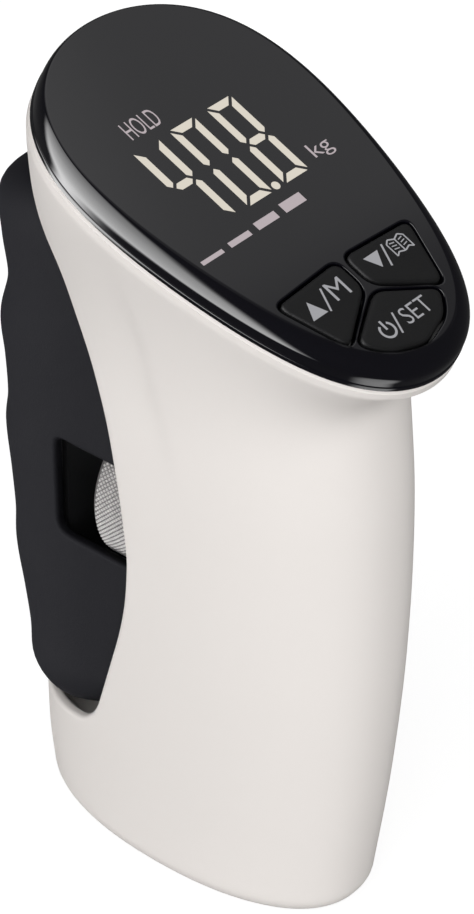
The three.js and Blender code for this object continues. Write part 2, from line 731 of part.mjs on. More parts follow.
piece('main_board', mainBoard(), 'board', head);
BOARD_PILLARS.forEach((at, i) => {
  const z = BOARD_TOP - BOARD_T - 0.1;
  screw(`board_screw_${i + 1}`, [...at, z], -Math.PI / 2, BOARD_SCREW, head);
});

piece('led_module', boxSolid(LED_LOW, LED_HIGH), 'black', panel);

// A small push switch under each key: a square body with a round plunger.
for (const [name, [x, y]] of Object.entries(KEY_CENTRES)) {
  const low = BOARD_TOP + 0.1;
  const top = KEY_STEM_BOTTOM - KEY_TRAVEL - SWITCH_PLAY;
  const body = boxSolid(
    [x - SWITCH_HALF, y - SWITCH_HALF, low],
    [x + SWITCH_HALF, y + SWITCH_HALF, top - SWITCH_PLUNGER],
  );
  const plunger = barAlongZ([x, y], SWITCH_PLUNGER_R, [low, top], SMALL_ROUND);
  piece(`switch_${name}`, join(body, plunger), 'zinc', panel);
}

// ---------------------------------------------------------------- finger grip

const ridgeY = profile(GRIP_RIDGE);
const GRIP_ARC_STEPS = 14;
const GRIP_ARC_POWER = 0.92;        // below 1 fills out the front's shoulders
const GRIP_END_TAPER = 0.3;         // the sides pull in by this share of the ends' rounding
const GRIP_RIDGE_DROP = 3;          // the slanted bottom reads the ridge this much lower

// One ring of the grip: flat sides, rounded towards the fingers, straight across the back.
function gripRing(level, inset) {
  const fromBottom = Math.max(level - inset, 0);
  const fromTop = Math.max(GRIP_TOP - GRIP_BOTTOM - level - inset, 0);
  const end = roundedInset(Math.min(fromBottom, fromTop), GRIP_ROUND);
  const height = GRIP_BOTTOM + level;
  const width = GRIP_HALF_WIDTH - inset - end * GRIP_END_TAPER;
  const tilt = Math.max(1 - (height - GRIP_BOTTOM) / (GRIP_SLANT_END - GRIP_BOTTOM), 0);
  const rise = Math.max((height - GRIP_TOP_SLANT) / (GRIP_TOP - GRIP_TOP_SLANT), 0);
  const ridge = ridgeY(height - GRIP_RIDGE_DROP * tilt) - inset - end;
  const back = GRIP_REAR_Y - inset;
  const front = spaced(0, Math.PI, GRIP_ARC_STEPS).map((angle) => [
    width * squared(Math.cos(angle)),
    GRIP_SHOULDER_Y + (ridge - GRIP_SHOULDER_Y) * Math.sin(angle) ** GRIP_ARC_POWER,
  ]);
  return [[width, back], ...front, [-width, back]].map(([x, y]) => {
    const behind = Math.min(y - GRIP_TOP_PIVOT_Y, 0);
    const z = height + tilt * GRIP_SLOPE * (y - GRIP_PIVOT_Y) + rise * GRIP_TOP_SLOPE * behind;
    return new THREE.Vector3(x, y, z);
  });
}

const GRIP_END_LEVELS = [0, 0.8, 2.6, 5.4];   // rings through each rounded end
const GRIP_OUTER_STEPS = 20;
const GRIP_INNER_STEPS = 6;

// Ring levels from the bottom of the grip to its top, both inset by the same amount.
function gripLevels(inset, steps) {
  const top = GRIP_TOP - GRIP_BOTTOM - inset;
  const middle = spaced(inset + GRIP_ROUND, top - GRIP_ROUND, steps);
  return [
    ...GRIP_END_LEVELS.map((d) => inset + d), ...middle, ...GRIP_END_LEVELS.map((d) => top - d).reverse(),
  ];
}

function gripSolid(inset, steps) {
  return solid(loft(gripLevels(inset, steps).map((level) => gripRing(level, inset))));
}

function windowCut() {
  const [low, high] = WINDOW_Z;
  return across(roundedPolygon([
    [-WINDOW_Y, low], [-WINDOW_Y, high], [WINDOW_Y, high], [WINDOW_Y, low],
  ], WINDOW_ROUND), FAR);
}

function gripShell() {
  const hollow = gripSolid(GRIP_WALL, GRIP_INNER_STEPS);
  const outer = gripSolid(0, GRIP_OUTER_STEPS);
  const bosses = CORE_SCREWS.map((at) => (
    barAlongY(at, CORE_BOSS_R, [CORE_Y[1] + 0.3, CORE_BOSS_END_Y], SMALL_ROUND)
  ));
  const inside = join(...bosses).intersect(outer);
  const pilots = CORE_SCREWS.map((at) => (
    barAlongY(at, CORE_PILOT_R, [CORE_Y[1], CORE_PILOT_END_Y], SMALL_ROUND)
  ));
  const rearWidth = GRIP_HALF_WIDTH - GRIP_WALL - 0.5;
  const floorRear = boxSolid([-rearWidth, -FAR, 0], [rearWidth, GRIP_FLOOR_REAR_Y, CORE_Z[0]]);
  return cut(join(cut(outer, hollow), inside), windowCut(), floorRear, ...pilots);
}

piece('grip_shell', gripShell(), 'black');

function gripCore() {
  const body = boxSolid(
    [-CORE_HALF_WIDTH, CORE_Y[0], CORE_Z[0]],
    [CORE_HALF_WIDTH, CORE_Y[1], CORE_Z[1]],
  );
  const rods = Object.values(RODS).map((at) => barAlongY(at, ROD_R + RUNNING_PLAY, [0, FAR]));
  const screws = CORE_SCREWS.map((at) => barAlongY(at, THREAD_R, [0, FAR], SMALL_ROUND));
  const boss = barAlongY([0, AXIS_Z], NUT_BOSS_R, [CORE_Y[0], SCREW_Y[1] + 1]);
  const bore = barAlongY([0, AXIS_Z], SCREW_R + 0.2, [0, FAR]);
  return cut(join(body, boss), ...rods, ...screws, bore);
}

piece('grip_core', gripCore(), 'frame');
CORE_SCREWS.forEach(([x, z], i) => {
  screw(`grip_screw_${i + 1}`, [x, CORE_Y[0] - 0.1, z], Math.PI, GRIP_SCREW);
});

// ---------------------------------------------------------------- adjusting screw and wheel

function adjustWheel() {
  const [rear, front] = WHEEL_Y;
  const bore = SCREW_R + SCREW_PLAY;
  const groove = HUB_R - GROOVE_DEPTH;
  const half = CIRCLIP_T / 2 + 0.1;
  return turned([
    [bore, HUB_END_Y], [HUB_R, HUB_END_Y], [HUB_R, CIRCLIP_Y - half], [groove, CIRCLIP_Y - half],
    [groove, CIRCLIP_Y + half], [HUB_R, CIRCLIP_Y + half], [HUB_R, rear],
    [WHEEL_R - WHEEL_CHAMFER, rear], [WHEEL_R, rear + WHEEL_CHAMFER],
    [WHEEL_R, front - WHEEL_CHAMFER], [WHEEL_R - WHEEL_CHAMFER, front], [bore, front],
  ], 40);
}

function thrustWasher() {
  const [rear, front] = WASHER_Y;
  const bore = HUB_R + 0.3;
  return turned([[bore, rear], [WASHER_R, rear], [WASHER_R, front], [bore, front]]);
}

// An open spring ring in the groove at the end of the wheel's hub.
function circlip() {
  const inner = HUB_R - CIRCLIP_BITE;
  const outline = new THREE.Shape();
  outline.absarc(0, 0, inner + CIRCLIP_WIDTH, CIRCLIP_GAP, Math.PI * 2 - CIRCLIP_GAP, false);
  outline.absarc(0, 0, inner, Math.PI * 2 - CIRCLIP_GAP, CIRCLIP_GAP, true);
  outline.closePath();
  const geometry = new THREE.ExtrudeGeometry(outline, {
    depth: CIRCLIP_T, bevelEnabled: false, curveSegments: 12,
  });
  geometry.rotateX(Math.PI / 2);
  geometry.translate(0, CIRCLIP_Y + CIRCLIP_T / 2, AXIS_Z);
  return solid(geometry);
}

piece('adjust_wheel', adjustWheel(), 'steel');
piece('adjust_screw', barAlongY([0, AXIS_Z], SCREW_R, SCREW_Y), 'steel');
piece('thrust_washer', thrustWasher(), 'bronze');
piece('wheel_circlip', circlip(), 'zinc');

// ---------------------------------------------------------------- guide rods and bushes

function bush([x, z]) {
  const flange = BUSH_FRONT_Y + 0.1;
  const body = join(
    barAlongY([x, z], BUSH_R, [FRAME_Y[0], flange]),
    barAlongY([x, z], BUSH_R + BUSH_FLANGE, [flange, flange + BUSH_FLANGE_T]),
  );
  return cut(body, barAlongY([x, z], ROD_R + RUNNING_PLAY, [-FAR, 0]));
}

for (const [name, at] of Object.entries(RODS)) {
  piece(`guide_rod_${name}`, barAlongY(at, ROD_R, ROD_Y), 'steel');
  piece(`guide_bush_${name}`, bush(at), 'bronze');
}

// ---------------------------------------------------------------- inner frame and load cell

function innerFrame() {
  const [rear, front] = FRAME_Y;
  const body = boxSolid([-FRAME_HALF_WIDTH, rear, FRAME_Z[0]], [FRAME_HALF_WIDTH, front, FRAME_Z[1]]);
  const bosses = Object.values(RODS).map((at) => barAlongY(at, BOSS_R, [rear, BUSH_FRONT_Y]));
  const pad = boxSolid([-PAD_HALF_WIDTH, front - 1, PAD_Z], [PAD_HALF_WIDTH, CELL_Y[0] - 0.1, CELL_Z[1]]);
  const bores = Object.values(RODS).map((at) => barAlongY(at, BUSH_R + 0.1, [-FAR, 0]));
  const screws = FRAME_SCREWS.map((at) => barAlongY(at, THREAD_R + 0.1, [-FAR, 0], SMALL_ROUND));
  const cellScrews = CELL_FIXED_Z.map((z) => barAlongY([0, z], THREAD_R + 0.2, [-FAR, 0], SMALL_ROUND));
  return cut(join(body, pad, ...bosses), ...bores, ...screws, ...cellScrews);
}

piece('inner_frame', innerFrame(), 'frame');
FRAME_SCREWS.forEach(([x, z], i) => {
  screw(`frame_screw_${i + 1}`, [x, FRAME_Y[1] + 0.1, z], 0, FRAME_SCREW);
});

// The measuring beam: a bar with two linked holes that let its free end shift under load.
function loadCell() {
  const middleY = (CELL_Y[0] + CELL_Y[1]) / 2;
  const body = boxSolid([-CELL_HALF_WIDTH, CELL_Y[0], CELL_Z[0]], [CELL_HALF_WIDTH, CELL_Y[1], CELL_Z[1]]);
  const holes = CELL_HOLES_Z.map((z) => {
    const geometry = new THREE.CylinderGeometry(CELL_HOLE_R, CELL_HOLE_R, FAR, ROUND);
    geometry.rotateZ(Math.PI / 2);
    geometry.translate(0, middleY, z);
    return solid(geometry);
  });
  const link = boxSolid(
    [-FAR, middleY - CELL_LINK_HALF, CELL_HOLES_Z[0]],
    [FAR, middleY + CELL_LINK_HALF, CELL_HOLES_Z[1]],
  );
  const threads = [...CELL_FIXED_Z, ...CELL_FREE_Z].map((z) => (
    barAlongY([0, z], THREAD_R, [-FAR, 0], SMALL_ROUND)
  ));
  return cut(body, ...holes, link, ...threads);
}

// The block on the beam's free end that takes the wheel's push.
function thrustBlock() {
  const [rear, front] = BLOCK_Y;
  const body = boxSolid([-BLOCK_HALF_WIDTH, rear, BLOCK_Z[0]], [BLOCK_HALF_WIDTH, front, BLOCK_Z[1]]);
  const bore = barAlongY([0, AXIS_Z], HUB_R + 0.25, [-FAR, FAR]);
  const recess = barAlongY([0, AXIS_Z], BLOCK_RECESS_R, [-FAR, CIRCLIP_Y + 0.8]);
  const screws = CELL_FREE_Z.map((z) => barAlongY([0, z], THREAD_R, [-FAR, BLOCK_THREAD_Y], SMALL_ROUND));
  return cut(body, bore, recess, ...screws);
}

piece('load_cell', loadCell(), 'aluminium');
piece('thrust_block', thrustBlock(), 'zinc');
CELL_FIXED_Z.forEach((z, i) => {
  screw(`cell_screw_fixed_${i + 1}`, [0, FRAME_Y[0] - 0.1, z], Math.PI, CELL_FIXED_SCREW);
});
CELL_FREE_Z.forEach((z, i) => {
  screw(`cell_screw_free_${i + 1}`, [0, CELL_Y[0] - 0.1, z], Math.PI, CELL_FREE_SCREW);
});

// ---------------------------------------------------------------- power

function batteryHolder() {
  const body = boxSolid(
    [-HOLDER_HALF[0], BATTERY_Y - HOLDER_HALF[1], HOLDER_BOTTOM],
    [HOLDER_HALF[0], BATTERY_Y + HOLDER_HALF[1], HOLDER_TOP],
  );
  const cells = [-BATTERY_X, BATTERY_X];
  const bores = cells.map((x) => (
    barAlongZ([x, BATTERY_Y], BATTERY_R + 0.2, [0, HOLDER_TOP - HOLDER_CAP])
  ));
  const slots = cells.map((x) => (
    boxSolid([x - 1, BATTERY_Y - 1, BATTERY_Z[0]], [x + 1, BATTERY_Y + 1, HOLDER_TOP + 1])
  ));
  return cut(body, ...bores, ...slots);
}

// One cell with its raised positive end up, or down for the second one.
function battery(x, up) {
  const [low, high] = BATTERY_Z;
  const nub = up ? [high - 0.1, high + NUB_HEIGHT] : [low - NUB_HEIGHT, low + 0.1];
  const at = [x, BATTERY_Y];
  return join(
    barAlongZ(at, BATTERY_R, [low + CRIMP, high]),
    barAlongZ(at, BATTERY_R - CRIMP, [low, low + 2 * CRIMP]),
    barAlongZ(at, NUB_R, nub, SMALL_ROUND),
  );
}

piece('battery_holder', batteryHolder(), 'frame');
piece('battery_1', battery(-BATTERY_X, true), 'battery');
piece('battery_2', battery(BATTERY_X, false), 'battery');

function contactPlate(x, [halfX, halfY], [from, to]) {
  return boxSolid([x - halfX, BATTERY_Y - halfY, from], [x + halfX, BATTERY_Y + halfY, to]);
}

piece('contact_positive', contactPlate(-BATTERY_X, CONTACT_HALF, CONTACT_Z), 'zinc');
piece('contact_negative', contactPlate(BATTERY_X, CONTACT_HALF, CONTACT_Z), 'zinc');
piece('contact_bridge', contactPlate(0, BRIDGE_HALF, BRIDGE_Z), 'zinc');

piece('battery_lead', cable(BATTERY_LEAD, BATTERY_LEAD_R), 'cable');
piece('cell_lead', cable(CELL_LEAD, CELL_LEAD_R), 'cable');

export default root;
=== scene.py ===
"""Hand dynamometer: the looks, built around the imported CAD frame.

Everything below is worked out in millimetres and stored in metres. +Z is up, +Y points at the
fingers, -Y at the palm, and the origin is the middle of the flat foot.
"""

import json
import math

import bmesh
import bpy
import numpy as np
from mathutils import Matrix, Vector
from mathutils.geometry import tessellate_polygon


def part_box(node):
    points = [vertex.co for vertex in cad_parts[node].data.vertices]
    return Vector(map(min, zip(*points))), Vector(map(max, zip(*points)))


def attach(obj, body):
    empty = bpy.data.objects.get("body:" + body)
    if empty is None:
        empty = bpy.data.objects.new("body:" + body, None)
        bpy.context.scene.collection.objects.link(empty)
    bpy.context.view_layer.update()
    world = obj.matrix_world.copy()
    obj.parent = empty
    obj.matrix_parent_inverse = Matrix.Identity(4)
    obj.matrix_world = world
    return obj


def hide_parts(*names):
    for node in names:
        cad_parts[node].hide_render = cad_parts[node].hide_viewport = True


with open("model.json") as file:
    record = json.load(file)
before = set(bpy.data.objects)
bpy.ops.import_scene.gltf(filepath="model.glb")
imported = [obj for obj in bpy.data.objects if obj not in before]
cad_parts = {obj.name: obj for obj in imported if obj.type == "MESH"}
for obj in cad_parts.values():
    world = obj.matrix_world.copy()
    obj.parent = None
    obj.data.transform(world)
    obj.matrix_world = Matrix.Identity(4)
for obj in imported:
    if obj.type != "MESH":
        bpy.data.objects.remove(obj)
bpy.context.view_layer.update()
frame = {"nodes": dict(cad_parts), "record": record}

MM = 0.001
TURN = 2 * math.pi

# ---------------- sizes shared with the frame

WALL = 2.2
FOOT_ROUNDING = 4.5
FOOT_OPENING = (11.6, 27.5)
SQUARENESS = 2.2
PALM_LINE = [(0, -32.5), (27, -36), (54, -38), (83, -38), (108, -35.6), (125, -34.5)]
FINGER_LINE = [(0, 32.5), (15, 33.8), (60, 32.2), (105, 29.4), (131, 27.4), (150, 26.2)]
HALF_WIDTH = [(0, 16.6), (27, 17.9), (60, 19.1), (83, 19.6), (105, 20), (132, 20.6)]

HEAD_HEIGHT = 131.8
HEAD_Y = -10.04
HEAD_TILT = math.radians(24)
EGG_HALF_WIDTH = 24.4
EGG_HALF_LENGTH = 39.1
EGG_TAPER = 0.265
EGG_BULGE = 0.241
EGG_SHIFT = 0.068
LIP_TOP = 1.1
LIP = 2.9
SIDE_FLARE = 30.0
PALM_FLARE = 11.0
FINGER_FLARE = 36.0
FINGER_FULLNESS = 2.0
LEVEL_BELOW = 20.0

CHEEK_LINE = [
    (27.2, 13.2), (31.3, 11.1), (36, 9.4), (43.5, 6.9), (51.4, 4.4), (58.7, 2.7), (65.4, 1.9),
    (69.6, 1.75), (74.7, 2.2), (82.8, 3.2), (94.1, 5.2), (102.5, 7.7), (111.8, 11), (120.3, 13.9),
    (126, 17.8), (130.3, 20.3),
]
TOE_LINE = [(6, 31.4), (13.2, 27.2), (15.2, 25.9), (19.1, 24.4), (23, 23.4), (28, 22.6), (34, 22)]
OPENING_TOP = (30.0, 131.5)
CUSP_FILLET = 3.2
# A soft fold down each side of the shell, as (height, y) and (height, depth).
CREASE_LINE = [(80, -11.5), (99, -8.2), (104.4, -6.8), (113.7, -5.4), (120, -4.3), (131, -3.0)]
CREASE_DEPTH = [(78, 0.0), (90, 0.2), (106, 0.42), (118, 0.42), (130, 0.1), (133, 0.0)]
CREASE_WIDTH = 4.0
CREASE_FADE = 8.0
TOE_SCOOP = 3.4
TOE_FLOOR_DROP = 0.9
TOE_FLOOR_WALL = 1.6
TOE_FLOOR_REAR_Y = 7.0
TOE_FLOOR_SINK = 0.7        # how far its edges run into the shell's wall
TOE_FLOOR_LEVEL = 22.0      # the height whose section gives its outline
FAR = 60.0

COVER_BOTTOM = -0.8
COVER_TOP = 4.05
COVER_RIM = [(-0.8, 0), (1.19, 0), (2.2, 0.06), (3.05, 0.24), (3.65, 0.5), (3.95, 0.75), (4.05, 1)]
ROLL_WIDTH = 2.06
ROLL_WIDENING = 1.43
PANEL_X = -1.03
PANEL_Y = -0.39
KEY_GAP = 0.45
KEY_TOP = 4.3
KEY_CORNER = 1.9
KEY_FOOT = 2.0
WELL_CLEARANCE = 0.9
SIDE_KEY = [(-15.7, -16.9), (-0.95, -16.1), (-0.95, -22.05), (-11.4, -28.35)]
POWER_KEY = [(0, -23.3), (9.9, -28.8), (6.6, -32.6), (0, -34.6), (-6.6, -32.6), (-9.9, -28.8)]

GRIP_HALF_WIDTH = 15.3
GRIP_WALL = 2.0
GRIP_REAR_Y = -4.2
GRIP_SHOULDER_Y = 14.0
GRIP_BOTTOM = 24.6
GRIP_PIVOT_Y = 22.0
GRIP_SLOPE = -0.473
GRIP_TOP = 126.8
GRIP_ROUND = 8.0
GRIP_SLANT_END = 50.0
GRIP_TOP_SLANT = 112.0
GRIP_TOP_SLOPE = 0.3
GRIP_TOP_PIVOT_Y = 24.0
GRIP_RIDGE = [
    (15, 33.6), (24, 36), (29, 37.1), (35, 37.2), (42, 38.4), (50, 40.1), (57, 39.9), (65, 40.5),
    (74, 41.4), (80, 40.5), (88, 40.8), (95, 41.5), (104, 39), (112, 40.1), (119, 40.4), (126, 36.8),
    (134, 32.8),
]
WINDOW_Y = 20.4
WINDOW_REAR_Y = -12
WINDOW_Z = (63.1, 82.3)
WINDOW_ROUND = 2.4
# The grip's floor stops short in a box this half width, to this y, below this height.
GRIP_FLOOR_CUT = (12.8, 0.4, 45.0)

WHEEL_REAR_Y = 2.0
WHEEL_HUB = 5.6
WHEEL_HUB_END_Y = -10.2
WHEEL_BORE = 3.25
WHEEL_CHAMFER = 0.7
WHEEL_REAR_LAND = 2.2
WHEEL_RECESS = 0.5
KNURL_DEPTH = 0.34
KNURL_DIAMONDS = 104
KNURL_COLUMNS = 6           # mesh columns to a diamond
KNURL_ROWS = 76
KNURL_RUN_OUT = 0.25
KNURL_STEEPNESS = 1.6


# ---------------- small mathematics

def profile(points):
    """A smooth curve through (position, value) points, read at any positions."""
    xs = np.array([p[0] for p in points], float)
    ys = np.array([p[1] for p in points], float)
    last = len(xs) - 1
    before = np.maximum(np.arange(last + 1) - 1, 0)
    after = np.minimum(np.arange(last + 1) + 1, last)
    slopes = (ys[after] - ys[before]) / (xs[after] - xs[before])

    def value(at):
        at = np.clip(at, xs[0], xs[-1])
        i = np.clip(np.searchsorted(xs, at, side="right") - 1, 0, last - 1)
        span = xs[i + 1] - xs[i]
        t = (at - xs[i]) / span
        rise = ys[i + 1] - ys[i]
        bend = (1 - t) * (slopes[i] * span - rise) - t * (slopes[i + 1] * span - rise)
        return ys[i] + t * rise + t * (1 - t) * bend

    return value


def rounded_inset(distance, r):
    left = np.maximum(r - distance, 0)
    return r - np.sqrt(r * r - left * left)


def squared(value):
    return np.sign(value) * np.abs(value) ** (2 / SQUARENESS)


def unit(vectors):
    return vectors / np.maximum(np.linalg.norm(vectors, axis=-1, keepdims=True), 1e-12)


palm_y = profile(PALM_LINE)
finger_y = profile(FINGER_LINE)
half_width = profile(HALF_WIDTH)
ridge_y = profile(GRIP_RIDGE)
crease_y = profile(CREASE_LINE)
crease_depth = profile(CREASE_DEPTH)
cheek_y = profile(CHEEK_LINE)
toe_z = profile(TOE_LINE)


# ---------------- head plane

def on_head(x, y, height):
    """A point of the head's tilted plane in the frame, from its own x, y and height."""
    s, c = math.sin(HEAD_TILT), math.cos(HEAD_TILT)
    x, y, height = np.broadcast_arrays(x, y, height)
    return np.stack([x, HEAD_Y + y * c - height * s, HEAD_HEIGHT + y * s + height * c], -1)


def on_panel(x, y, height):
    """The same for the panel of keys and digits, which sits a little off the egg's middle."""
    return on_head(np.asarray(x) + PANEL_X, np.asarray(y) + PANEL_Y, height)


def egg(angle, inset=0.0):
    s = np.sin(angle)
    x = (EGG_HALF_WIDTH - inset) * np.cos(angle) * (1 + EGG_TAPER * s + EGG_BULGE * s * s)
    y = (EGG_HALF_LENGTH - inset) * (s - EGG_SHIFT * (1 - s * s))
    return x, y


# ---------------- shell surface

def column_point(angle, z, inset):
    middle = (palm_y(z) + finger_y(z)) / 2
    reach = (finger_y(z) - palm_y(z)) / 2 - inset
    x = (half_width(z) - inset) * squared(np.cos(angle))
    return np.stack([x, middle + reach * squared(np.sin(angle)), z], -1)


def shell_point(angle, level):
    lip = on_head(*egg(angle), -LIP)
    rise = (level - LEVEL_BELOW) / (HEAD_HEIGHT - LEVEL_BELOW)
    z = np.where(level < LEVEL_BELOW, level, LEVEL_BELOW + rise * (lip[..., 2] - LEVEL_BELOW))
    palm_side = np.maximum(-np.sin(angle), 0)
    finger_side = np.maximum(np.sin(angle), 0)
    depth = SIDE_FLARE + (PALM_FLARE - SIDE_FLARE) * palm_side ** 2
    depth = depth + (FINGER_FLARE - SIDE_FLARE) * finger_side
    near = np.maximum(1 - (lip[..., 2] - z) / depth, 0)
    pull = near ** (2 + palm_side) * (1 + FINGER_FULLNESS * finger_side * (1 - near))
    point = column_point(angle, z, rounded_inset(z, FOOT_ROUNDING))
    point = point + (lip - column_point(angle, lip[..., 2], 0.0)) * pull[..., None]
    beyond = np.clip((point[..., 1] - crease_y(z)) / CREASE_WIDTH, 0, None)
    fold = beyond * np.exp(1 - beyond) * crease_depth(z)
    side = np.minimum(np.abs(point[..., 0]) / CREASE_FADE, 1)
    point[..., 0] -= np.sign(point[..., 0]) * fold * side
    return point


# Rows up the shell: the flat foot, its rounding, the column, and the lip under the cover.
FOOT_ROWS = 8
COLUMN_ROWS = 150
LIP_ROWS = 4
LIP_EDGE = 0.35
SHELL_COLUMNS = 220
SHELL_RIM = 0.8


def shell_surface(u, t):
    """The outside of the shell, once round for u in 0..1 and from foot to lip for t in 0..1."""
    angle = u * TURN
    row = t * (1 + FOOT_ROWS + COLUMN_ROWS + LIP_ROWS)
    foot = np.clip(row - 1, 0, FOOT_ROWS) / FOOT_ROWS * math.pi / 2
    column = np.clip(row - 1 - FOOT_ROWS, 0, COLUMN_ROWS) / COLUMN_ROWS
    level = FOOT_ROUNDING * (1 - np.cos(foot)) + column * (HEAD_HEIGHT - FOOT_ROUNDING)
    point = shell_point(angle, level)
    lip = np.clip(row - 1 - FOOT_ROWS - COLUMN_ROWS, 0, LIP_ROWS) / LIP_ROWS
    depth = LIP + (LIP_TOP - LIP) * lip
    edge = rounded_inset(depth - LIP_TOP, LIP_EDGE)
    point = np.where((lip > 0)[..., None], on_head(*egg(angle, edge), -depth), point)
    flat = np.clip(row, 0, 1)[..., None]
    opening = np.stack([
        FOOT_OPENING[0] * squared(np.cos(angle)), FOOT_OPENING[1] * squared(np.sin(angle)),
        np.zeros_like(angle),
    ], -1)
    return np.where(flat < 1, opening + (shell_point(angle, 0 * angle) - opening) * flat, point)


# ---------------- side-view outlines

def arc(centre, r, start, end, steps):
    angles = np.radians(np.linspace(start, end, steps))
    return [(centre[0] + r * math.cos(a), centre[1] + r * math.sin(a)) for a in angles]


def bezier(p0, p1, p2, steps):
    ts = np.linspace(0, 1, steps)
    p0, p1, p2 = (np.array(p, float) for p in (p0, p1, p2))
    return [tuple((1 - t) ** 2 * p0 + 2 * t * (1 - t) * p1 + t * t * p2) for t in ts]


def rounded_polygon(points, radius, steps=6):
    """A closed outline through corner points, each rounded over by the given distance."""
    corners = [np.array(p, float) for p in points]
    outline = []
    for i, corner in enumerate(corners):
        before = corners[i - 1] - corner
        after = corners[(i + 1) % len(corners)] - corner
        enter = corner + before / np.linalg.norm(before) * radius
        leave = corner + after / np.linalg.norm(after) * radius
        outline += bezier(enter, corner, leave, steps)
    return outline


def opening_outline():
    """The crescent opening for the grip as (y, z) points, run anticlockwise."""
    cheek_top = CHEEK_LINE[-1][0]
    cusp_z, cusp_y = CHEEK_LINE[0]
    cheek = [(float(cheek_y(z)), z) for z in np.linspace(cheek_top, cusp_z + CUSP_FILLET, 110)]
    turn_end = cusp_y + CUSP_FILLET
    corner = bezier(cheek[-1], (cusp_y, cusp_z), (turn_end, float(toe_z(turn_end))), 12)
    toe = [(y, float(toe_z(y))) for y in np.linspace(turn_end, TOE_LINE[-1][0], 24)]
    top = bezier((OPENING_TOP[0] + 2, OPENING_TOP[1]), (cheek[0][0] + 2, OPENING_TOP[1]), cheek[0], 12)
    start = [(FAR, OPENING_TOP[1])]
    return start + top[:-1] + cheek[:-1] + corner[:-1] + toe + [(FAR, TOE_LINE[-1][1])]


def signed_distance(outline):
    """Distance in side view from a closed outline: positive outside it, negative within."""
    a = np.array(outline)
    b = np.roll(a, -1, axis=0)
    keep = np.linalg.norm(b - a, axis=1) > 1e-9
    a, b = a[keep], b[keep]
    edge = b - a
    length2 = (edge ** 2).sum(1)

    def distance(points):
        p = points[..., 1:3].reshape(-1, 1, 2)
        t = np.clip(((p - a) * edge).sum(-1) / length2, 0, 1)
        near = np.sqrt((((p - a) - t[..., None] * edge) ** 2).sum(-1)).min(1)
        above = (a[:, 1] > p[..., 1]) != (b[:, 1] > p[..., 1])
        rise = np.where(np.abs(edge[:, 1]) < 1e-12, 1e-12, edge[:, 1])
        crossing = a[:, 0] + (p[..., 1] - a[:, 1]) / rise * edge[:, 0]
        inside = ((above & (p[..., 0] < crossing)).sum(1) % 2) == 1
        return np.where(inside, -near, near).reshape(points.shape[:-1])

    return distance


# ---------------- trimmed sheets with a wall

SNAP_REACH = 0.36           # how far a grid point may slide, in cells


